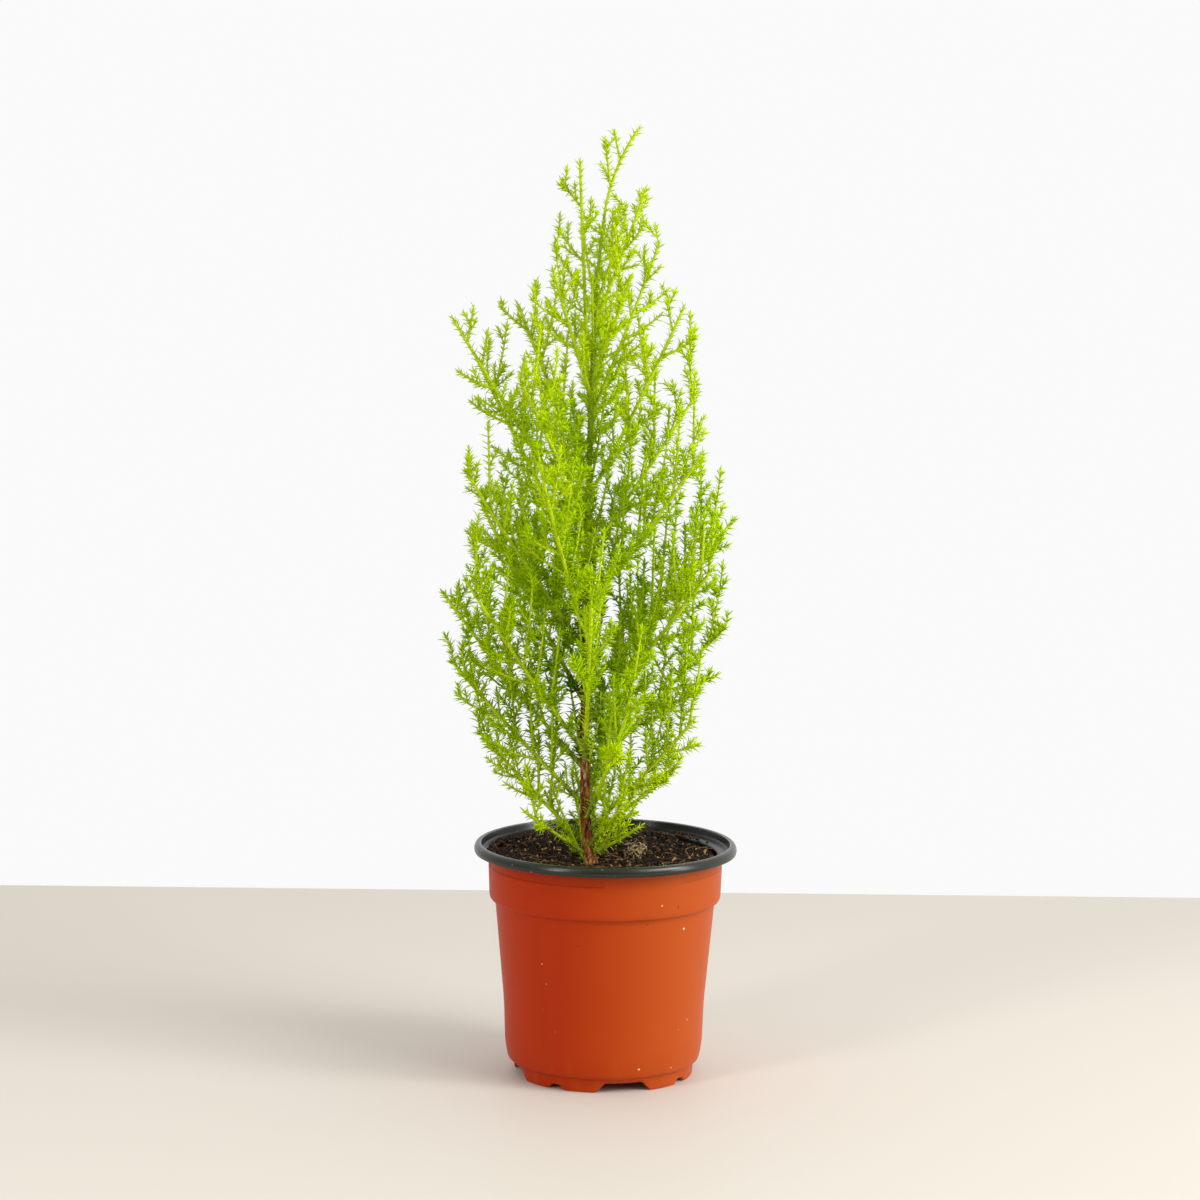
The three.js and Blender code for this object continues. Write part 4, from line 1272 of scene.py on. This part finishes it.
def finer_shoots(parent, kind, draw, room):
    """Shoots of a kind along a parent, each turned on by the golden angle, where the crown has room."""
    across = across_of(parent)
    turn = draw(0, 2 * math.pi)
    along = kind["first"]
    while along < parent.length - 0.5 * kind["step"]:
        share = along / parent.length
        turn += GOLDEN_ANGLE + draw(*TURN_DRAW)
        root, forward = parent.at([share])[0], parent.along(share)
        longest = max(SLENDER * crown_reach(root[2]), kind["lengths"][1])
        length = min(lerp(*kind["lengths"], share), longest) * draw(*LENGTH_DRAW)
        along += kind["step"] * draw(*STEP_DRAW)
        spread = math.radians(kind["spread"])
        headings = [heading_out(forward, across, turn + off, spread) for off in TURNED_OFF]
        yield from first_fit(root, headings, length, kind["rise"], room, kind["keep"])


def upright_shoots(parent, kind, draw, room):
    """Long slender shoots along a parent that stand nearly upright, as high as the crown goes."""
    turn = draw(0, 2 * math.pi)
    along = kind["first"] * draw(*FIRST_DRAW)
    while along < parent.length * UPRIGHTS_END:
        root = parent.at([along / parent.length])[0]
        if root[2] > UPRIGHTS_BELOW:
            return
        turn += GOLDEN_ANGLE + draw(*TURN_DRAW)
        length = lerp(*kind["lengths"], height_share(root[2])) * draw(*UPRIGHT_LENGTH_DRAW)
        lean = UPRIGHT_LEAN * draw(*LEAN_DRAW)
        along += kind["step"] * draw(*STEP_DRAW)
        outwards = [np.array([math.cos(turn + off), math.sin(turn + off), 0]) for off in TURNED_OFF]
        headings = [UP * math.cos(lean) + outward * math.sin(lean) for outward in outwards]
        yield from first_fit(root, headings, length, UPRIGHT_RISE, room, kind["keep"])


def shortened(curve, less):
    """A curve cut back at its tip, where the tuft of needles makes up the length."""
    return stretch(curve, 0, max(1 - less / curve.length, 0.3))


bearers = []
for limb in limbs:
    start = limb["split"] + GAP / limb["length"] if limb["has_bough"] else 0
    limb["stem"] = stretch(limb["curve"], start, 1)
    limb["stem_line"] = limb["stem"].at(np.linspace(0, 1, 13))
    limb["bough_line"] = limb["curve"].at(np.linspace(0, limb["split"], 4)) if limb["has_bough"] else None
    limb["room"] = (from_axis(limb["tip"]), limb["tip"][2] + TIP_RISE)
    bearers.append(limb)
leader_curve = Bend(
    trunk_at(LEADER_START),
    np.array([LEADER_LEAN, 0, lerp(LEADER_START, PLANT_TOP, 0.6)]),
    np.array([LEADER_REACH, 0, PLANT_TOP]),
)
bearers.append({"stem": leader_curve, "stem_line": leader_curve.at(np.linspace(0, 1, 9)),
                "across": across_of(leader_curve), "room": (from_axis(leader_curve.end), PLANT_TOP),
                "thick": trunk_radius(LEADER_START) * 1.3})

shoots = []


def add_shoot(kind, curve, wood, tone):
    shoots.append({"kind": kind, "curve": shortened(curve, TUFT_REACH), "wood": wood, "tone": tone})


def tone_of(point, draw):
    """0 for the deepest green, inside the crown, to 3 for the brightest, on its outside and its top."""
    height = height_share(point[2])
    depth = lerp(from_axis(point) / crown_reach(point[2]), 1, smooth((height - 0.35) / 0.4))
    foot = 1 - smooth((point[2] - SOIL_LEVEL) / (2 * FOOT_HEIGHT))
    light = DEPTH_LIGHT * depth + HEIGHT_LIGHT * height + FOOT_LIGHT * foot
    light += draw(-CHANCE_LIGHT, CHANCE_LIGHT)
    return sum(light > step for step in TONE_STEPS)


def foot_share(point):
    """Shoots near the peat are shorter, and let the trunk's foot show."""
    return lerp(FOOT_SHARE, 1, smooth((point[2] - SOIL_LEVEL) / FOOT_HEIGHT))


# First every long shoot is placed: the limbs' own twigs, then those between, upright and from the wood
twigs = []


def add_twig(curve, wood, room):
    share = foot_share(curve.start)
    twigs.append((stretch(curve, 0, share) if share < 0.99 else curve, wood, room))


for number, bearer in enumerate(bearers):
    stem = bearer["stem"]
    tone = tone_of(stem.end, seeded(TONE_SEED + number))
    add_shoot("limb", stem, (bearer["thick"] * STEM_SHARE, STEM_TIP), tone)
    grown.add(stem)
    for twig in solid_twigs(bearer, seeded(SOLID_SEED + number)):
        if not hides_stem(twig):
            grown.add(twig)
            add_twig(twig, TWIG_WOOD, bearer["room"])

trunk_top, trunk_foot = trunk_at(LEADER_START), trunk_at(SOIL_LEVEL)
trunk_middle = 2 * trunk_at((LEADER_START + SOIL_LEVEL) / 2) - (trunk_top + trunk_foot) / 2
trunk_line = Bend(trunk_foot, trunk_middle, trunk_top)
green_top = stretch(trunk_line, UPPER_TRUNK, 1)
top_wood = (trunk_radius(green_top.start[2]), trunk_radius(green_top.end[2]))
add_shoot("bough", green_top, top_wood, WOODY_TONE)
for i, (bearing, lean, length) in enumerate(FOOT_SHOOTS):
    outward = np.array([math.sin(math.radians(bearing)), -math.cos(math.radians(bearing)), 0])
    heading = UP * math.cos(math.radians(lean)) + outward * math.sin(math.radians(lean))
    low = shoot(trunk_at(SOIL_LEVEL + 1.5 + i) + outward * TRUNK_RADIUS, heading, length, 0.3)
    grown.add(low)
    twigs.append((low, TWIG_WOOD, (length, PLANT_TOP)))
for inner in upright_shoots(trunk_line, TRUNK_SHOOTS, seeded(TRUNK_SEED), (0, PLANT_TOP)):
    add_twig(inner, TWIG_WOOD, (0, PLANT_TOP))
for number, bearer in enumerate(bearers):
    draw_finer = seeded(FINER_SEED + number)
    for upright in upright_shoots(bearer["stem"], UPRIGHT_SHOOTS, draw_finer, (0, PLANT_TOP)):
        add_twig(upright, TWIG_WOOD, bearer["room"])
    for between in finer_shoots(bearer["stem"], BETWEEN_SHOOTS, draw_finer, bearer["room"]):
        add_twig(between, SIDE_WOOD, bearer["room"])
    if bearer.get("has_bough"):
        wooden = stretch(bearer["curve"], BARE_BOUGH, bearer["split"] * BOUGH_OVERLAP)
        add_shoot("bough", wooden, (bearer["thick"], bearer["thick"] * BOUGH_TAPER), WOODY_TONE)
        for low in finer_shoots(wooden, BOUGH_SHOOTS, draw_finer, bearer["room"]):
            add_twig(low, SIDE_WOOD, bearer["room"])

# Then each long shoot bears side shoots of its own tone, and the longer of those branch again
for number, (twig, wood, room) in enumerate(twigs):
    draw_side = seeded(SIDE_SEED + number)
    tone = tone_of(twig.end, draw_side)
    add_shoot("twig", twig, wood, tone)
    for side in finer_shoots(twig, SIDE_SHOOTS, draw_side, room):
        add_shoot("side", side, SIDE_WOOD, tone)
        if side.length > SPRIG_BEARING and side.start[2] < SPRIGS_BELOW:
            for sprig in finer_shoots(side, SPRIG_SHOOTS, draw_side, room):
                add_shoot("sprig", sprig, SIDE_WOOD, tone)

# Needles lie close and short on the upper shoots and stand out long and soft on the low ones. The inner
# length of a limb bears few, and every tip closes in a club of short ones.
LEANS = (math.radians(62), math.radians(44))
SIZE_HEIGHTS = [SOIL_LEVEL, 125, 160, 240, 320, PLANT_TOP]
SIZES = [0.62, 0.75, 1.0, 0.95, 0.88, 0.8]
CLUB_LEAN = math.radians(33)
CLUB_SIZE = 1.15
CLUB_LENGTH = 4
POINT_STEP = 4
COVERS = {"limb": (0.85, 0.95), "bough": (1, 1), "twig": (0.9, 1), "side": (0.95, 1), "sprig": (1, 1)}


def shoot_curves(name, chosen):
    """The shoots as hair curves, which the growing trees read, with their needles' habit point by point."""
    counts = [max(3, int(one["curve"].length / POINT_STEP) + 2) for one in chosen]
    curves = bpy.data.hair_curves.new(name)
    curves.add_curves(counts)
    columns = {"position": [], "radius": [], "stands_off": [], "lean": [], "size": [], "cover": []}
    for one, count in zip(chosen, counts):
        shares = np.linspace(0, 1, count)
        places = one["curve"].at(shares)
        wood = lerp(*one["wood"], shares) * MM
        heights = np.clip(height_share(places[:, 2]), 0, 1)
        club = np.clip(1 - (1 - shares) * one["curve"].length / CLUB_LENGTH, 0, 1)
        columns["position"].append(places * MM)
        columns["radius"].append(wood)
        columns["stands_off"].append(wood)
        columns["lean"].append(lerp(lerp(*LEANS, heights), CLUB_LEAN, club))
        columns["size"].append(np.interp(places[:, 2], SIZE_HEIGHTS, SIZES) * lerp(1, CLUB_SIZE, club))
        columns["cover"].append(lerp(*COVERS[one["kind"]], shares))
    curves.points.foreach_set("position", np.concatenate(columns.pop("position")).ravel())
    for key, values in columns.items():
        column = curves.attributes.get(key) or curves.attributes.new(key, "FLOAT", "POINT")
        column.data.foreach_set("value", np.concatenate(values))
    holder = bpy.data.objects.new(name, curves)
    bpy.context.scene.collection.objects.link(holder)
    return holder


def wood_tree():
    """Turns shoot curves into thin tapering stems."""
    grower = Grower("stem_wood")
    curves, sides, finish = grower.named_inputs(Shoots="Object", Sides="Int", Finish="Material")
    lines = grower.node("GeometryNodeCurveSplineType", {"spline_type": "POLY"}, Curve=grower.shape_of(curves))
    ring = grower.node("GeometryNodeCurvePrimitiveCircle", Resolution=sides, Radius=1.0)
    stems = grower.node("GeometryNodeCurveToMesh", Curve=lines, Profile_Curve=ring,
                        Scale=grower.node("GeometryNodeInputRadius"), Fill_Caps=True)
    grower.end(stems, finish)
    return grower


def stem_finish():
    finish = Finish("green_wood", roughness=0.5, specular=0.2)
    grain = finish.clouds(900, detail=2).stepped(0.3, 0.7)
    finish.set(Base_Color=finish.blend(grain, linear(178, 204, 14), linear(208, 224, 36)))
    return finish.material


masses = [f"foliage_{i + 1:02d}" for i in range(len(limbs))] + ["foliage_leader"]
wood = wood_tree()
green_wood = stem_finish()
PIECE_LIMIT = 170000
STEM_TRIANGLES = 10
MAIN_SIDES = 8
FINE_SIDES = 4


def in_pieces(name, chosen, triangles_of):
    """The shoots dealt out to as many pieces as keep each one under the limit of triangles."""
    total = sum(triangles_of(one) for one in chosen)
    pieces = math.ceil(total / PIECE_LIMIT)
    for i in range(pieces):
        yield (f"{name}_{i + 1}" if pieces > 1 else name), chosen[i::pieces]


def stem_triangles(one):
    return STEM_TRIANGLES * (one["curve"].length / POINT_STEP + 2)


def keep_foliage(piece):
    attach(piece, "root")
    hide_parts(*masses)


main_stems = [one for one in shoots if one["kind"] == "limb"]
fine_stems = [one for one in shoots if one["kind"] not in ("limb", "bough")]
for kind, kept, sides in (("main_stems", main_stems, MAIN_SIDES), ("twig_stems", fine_stems, FINE_SIDES)):
    for name, chosen in in_pieces(kind, kept, stem_triangles):
        lines = shoot_curves(name + "_lines", chosen)
        stems = wood.grow(name, bpy.data.meshes.new(name), Shoots=lines, Sides=sides, Finish=green_wood)
        bpy.data.objects.remove(lines)
        keep_foliage(stems)


# Needles
# Soft awl-shaped needles stand out of every shoot and lean towards its tip, in a spiral, and close up into
# a club at its end. Young outer sprays are yellow-green, the inner ones deeper green, and part of that is
# painted light and shade; low sprays and the woody parts get brighter tones as painted light.
NEEDLE_LENGTH = 4.3
NEEDLE_WIDTH = 1.05
NEEDLE_THICKNESS = 0.6
NEEDLE_RINGS = [(0.12, 1, -0.03), (0.6, 0.8, 0.01)]
NEEDLE_SPACING = 0.82
WHORL = 4
WHORL_CLOSENESS = 0.75
NEEDLE_TRIANGLES = 12
NEEDLE_POINT = 0.12
SIZE_RANGE = (0.8, 1.15)
LEAN_RANGE = (-0.8, -1.25)
TUFT_NEEDLES = 8
TUFT_SPACING = 0.6
TUFT_SHARE = 0.85
TUFT_LEAN = math.radians(18)
TUFT_OPENING = math.radians(4)


def needle_shape(name, length, width):
    """One needle along Z: three-sided, from a narrow foot, its point curved in towards the shoot. Its rings
    stand at shares of its length, with shares of its width, and are shifted to the side."""
    points = [(0, 0, 0)]
    for share, wide, shift in NEEDLE_RINGS:
        for k in range(3):
            angle = 2 * math.pi * k / 3 + math.pi / 2
            across, thick = width * wide / 2 * math.cos(angle), width * wide / 2 * math.sin(angle)
            points.append(scaled((across, thick * NEEDLE_THICKNESS + shift * length, share * length)))
    points.append(scaled((0, NEEDLE_POINT * length, length)))
    faces = []
    for k in range(3):
        j = (k + 1) % 3
        faces += [(0, 1 + j, 1 + k), (1 + k, 1 + j, 4 + j, 4 + k), (4 + k, 4 + j, 7)]
    return mesh_piece(name, points, faces, None)


def tuft_shape(name):
    """The club of short needles at a shoot's end, along Z."""
    points = []
    faces = []
    one = needle_shape("tuft_needle", NEEDLE_LENGTH * TUFT_SHARE, NEEDLE_WIDTH)
    for i in range(TUFT_NEEDLES):
        lean = Matrix.Rotation(-(TUFT_LEAN + TUFT_OPENING * i), 4, "X")
        turn = Matrix.Rotation(i * GOLDEN_ANGLE, 4, "Z")
        shift = Matrix.Translation((0, 0, -TUFT_SPACING * i * MM))
        start = len(points)
        points += [tuple(turn @ shift @ lean @ vertex.co) for vertex in one.data.vertices]
        faces += [tuple(corner + start for corner in face.vertices) for face in one.data.polygons]
    bpy.data.objects.remove(one)
    return mesh_piece(name, points, faces, None)


def needle_tree():
    """Sets needles along shoot curves in a spiral, by the curves' own lean, size and cover, with a club of
    them at each end."""
    grower = Grower("needling")
    curves, needle, tuft, spacing, seed, finish = grower.named_inputs(
        Shoots="Object", Needle="Object", Tuft="Object", Spacing="Float", Seed="Int", Finish="Material")
    maths = grower.maths

    def uneven(name, low, high):
        return maths("MULTIPLY", grower.column(name), grower.drawn(low, high, seed))

    def turned(rotation, **angle):
        euler = grower.node("FunctionNodeEulerToRotation", Euler=grower.node("ShaderNodeCombineXYZ", **angle))
        return grower.node("FunctionNodeRotateRotation", {"rotation_space": "LOCAL"}, Rotation=rotation,
                           Rotate_By=euler)

    lines = grower.node("GeometryNodeCurveSplineType", {"spline_type": "POLY"}, Curve=grower.shape_of(curves))
    spots = grower.tree.nodes.new("GeometryNodeCurveToPoints")
    spots.mode = "LENGTH"
    grower.feed(spots.inputs["Curve"], lines)
    grower.feed(spots.inputs["Length"], spacing)
    # The needles of a whorl close up towards its first one, and each whorl is turned against the last
    number = grower.node("GeometryNodeInputIndex")
    place = maths("MODULO", number, WHORL)
    whorl = maths("SUBTRACT", number, place)
    back = maths("MULTIPLY", place, -WHORL_CLOSENESS * NEEDLE_SPACING * MM)
    shift = grower.node("ShaderNodeVectorMath", {"operation": "SCALE"}, Vector=spots.outputs["Tangent"],
                        Scale=back)
    gathered = grower.node("GeometryNodeSetPosition", Geometry=spots.outputs["Points"], Offset=shift)
    around = maths("MULTIPLY", place, 2 * math.pi / WHORL)
    spin = maths("MULTIPLY_ADD", whorl, GOLDEN_ANGLE, around)
    rotation = turned(turned(spots.outputs["Rotation"], Z=spin), X=uneven("lean", *LEAN_RANGE))
    chosen = grower.node("FunctionNodeRandomValue", {"data_type": "BOOLEAN"}, output=3,
                         Probability=grower.column("cover"), Seed=seed)
    size = uneven("size", *SIZE_RANGE)
    needles = grower.node("GeometryNodeInstanceOnPoints", Points=gathered, Selection=chosen,
                          Instance=grower.shape_of(needle), Rotation=rotation, Scale=size)
    foot = grower.node("ShaderNodeCombineXYZ", Z=grower.column("stands_off"))
    needles = grower.node("GeometryNodeTranslateInstances", Instances=needles, Translation=foot)
    ends = grower.node("GeometryNodeCurveEndpointSelection", Start_Size=0, End_Size=1)
    heading = grower.node("FunctionNodeAlignRotationToVector", {"axis": "Z"},
                          Vector=grower.node("GeometryNodeInputTangent"))
    tufts = grower.node("GeometryNodeInstanceOnPoints", Points=lines, Selection=ends,
                        Instance=grower.shape_of(tuft), Rotation=heading, Scale=size)
    both = grower.tree.nodes.new("GeometryNodeJoinGeometry")
    grower.tree.links.new(needles, both.inputs[0])
    grower.tree.links.new(tufts, both.inputs[0])
    grower.end(both.outputs[0], finish)
    return grower


def needle_finish(name, colour):
    finish = Finish(name, specular=0.03)
    finish.set(Base_Color=colour, Roughness=0.5 + finish.clouds(300, detail=1) * 0.15)
    return finish.material


needling = needle_tree()
needle = needle_shape("needle_shape", NEEDLE_LENGTH, NEEDLE_WIDTH)
tuft = tuft_shape("tuft_shape")
TONES = {
    "needles_inner": linear(104, 148, 2),
    "needles_green": linear(154, 192, 0),
    "needles_fresh": linear(180, 214, 1),
    "needles_bright": linear(196, 224, 6),
}


def needle_triangles(one):
    needles = one["curve"].length / NEEDLE_SPACING * COVERS[one["kind"]][1] + TUFT_NEEDLES
    return NEEDLE_TRIANGLES * needles


for tone, (tone_name, colour) in enumerate(TONES.items()):
    finish = needle_finish(tone_name + "_finish", colour)
    of_tone = [one for one in shoots if one["tone"] == tone]
    for name, chosen in in_pieces(tone_name, of_tone, needle_triangles):
        lines = shoot_curves(name + "_lines", chosen)
        grown = needling.grow(name, bpy.data.meshes.new(name), Shoots=lines, Needle=needle, Tuft=tuft,
                              Spacing=NEEDLE_SPACING * MM, Seed=tone, Finish=finish)
        bpy.data.objects.remove(lines)
        keep_foliage(grown)
bpy.data.objects.remove(needle)
bpy.data.objects.remove(tuft)


# Floor, light and camera
# A plain pale floor that ends behind the pot, with white all round. Soft light comes from a large source
# high on the right and from an upright strip on each side, and the camera stands at the photo's place.
# The floor and the lights are in metres
FLOOR_BACK = 0.422
FLOOR_FRONT = -1.6
FLOOR_SIDE = 1.5
CAMERA_PLACE = (-4, -1837.4, 484.7)
CAMERA_TILT = math.radians(90) - 0.1345
CAMERA_ROLL = 0.0107
CAMERA_LENS = 113.6
SENSOR = 36
WORLD_LIGHT = 0.57
WORLD_SLOPE = (0.15, 0.32, 0.25)
WORLD_SEEN = 0.96


def floor_finish():
    finish = Finish("pale_floor", roughness=0.6, specular=0.3)
    finish.set(Base_Color=linear(215, 208, 196))
    return finish.material


floor = mesh_piece(
    "floor",
    [(-FLOOR_SIDE, FLOOR_FRONT, 0), (FLOOR_SIDE, FLOOR_FRONT, 0), (FLOOR_SIDE, FLOOR_BACK, 0),
     (-FLOOR_SIDE, FLOOR_BACK, 0)],
    [(0, 1, 2, 3)],
    floor_finish(),
)

# The camera sees plain white round the object. What lights it is brighter from the right and from behind
world = bpy.data.worlds.new("white")
world.use_nodes = True
world_tree = world.node_tree
background = world_tree.nodes["Background"]
background.inputs["Color"].default_value = (1, 1, 1, 1)
direction = world_tree.nodes.new("ShaderNodeTexCoord").outputs["Generated"]
slope = world_tree.nodes.new("ShaderNodeVectorMath")
slope.operation = "DOT_PRODUCT"
slope.inputs[1].default_value = WORLD_SLOPE
world_tree.links.new(direction, slope.inputs[0])
around = world_tree.nodes.new("ShaderNodeMath")
around.operation = "ADD"
around.inputs[1].default_value = WORLD_LIGHT
world_tree.links.new(slope.outputs["Value"], around.inputs[0])
seen = world_tree.nodes.new("ShaderNodeMix")
seen.inputs[3].default_value = WORLD_SEEN
world_tree.links.new(world_tree.nodes.new("ShaderNodeLightPath").outputs["Is Camera Ray"], seen.inputs[0])
world_tree.links.new(around.outputs[0], seen.inputs[2])
world_tree.links.new(seen.outputs[0], background.inputs["Strength"])
bpy.context.scene.world = world


def softbox(name, place, target, size, power):
    light = bpy.data.lights.new(name, "AREA")
    light.shape = "RECTANGLE"
    light.size, light.size_y = size
    light.energy = power
    lamp = bpy.data.objects.new(name, light)
    bpy.context.scene.collection.objects.link(lamp)
    aim = (Vector(target) - Vector(place)).to_track_quat("-Z", "Y")
    lamp.matrix_world = Matrix.Translation(place) @ aim.to_matrix().to_4x4()


softbox("right_light", (1.3, -0.9, 1.3), (0, 0, 0.2), (0.9, 0.9), 16)
softbox("side_light", (1.13, -0.41, 0.6), (0, 0, 0.15), (0.35, 1.2), 8)
softbox("left_light", (-0.8, -0.85, 0.7), (0, 0, 0.2), (0.2, 0.9), 5)

lens = bpy.data.cameras.new("camera")
lens.lens = CAMERA_LENS
lens.sensor_width = SENSOR
camera = bpy.data.objects.new("camera", lens)
bpy.context.scene.collection.objects.link(camera)
camera.matrix_world = (Matrix.Translation(scaled(CAMERA_PLACE)) @ Matrix.Rotation(CAMERA_TILT, 4, "X")
                       @ Matrix.Rotation(CAMERA_ROLL, 4, "Z"))
bpy.context.scene.camera = camera
bpy.context.scene.view_settings.view_transform = "Standard"
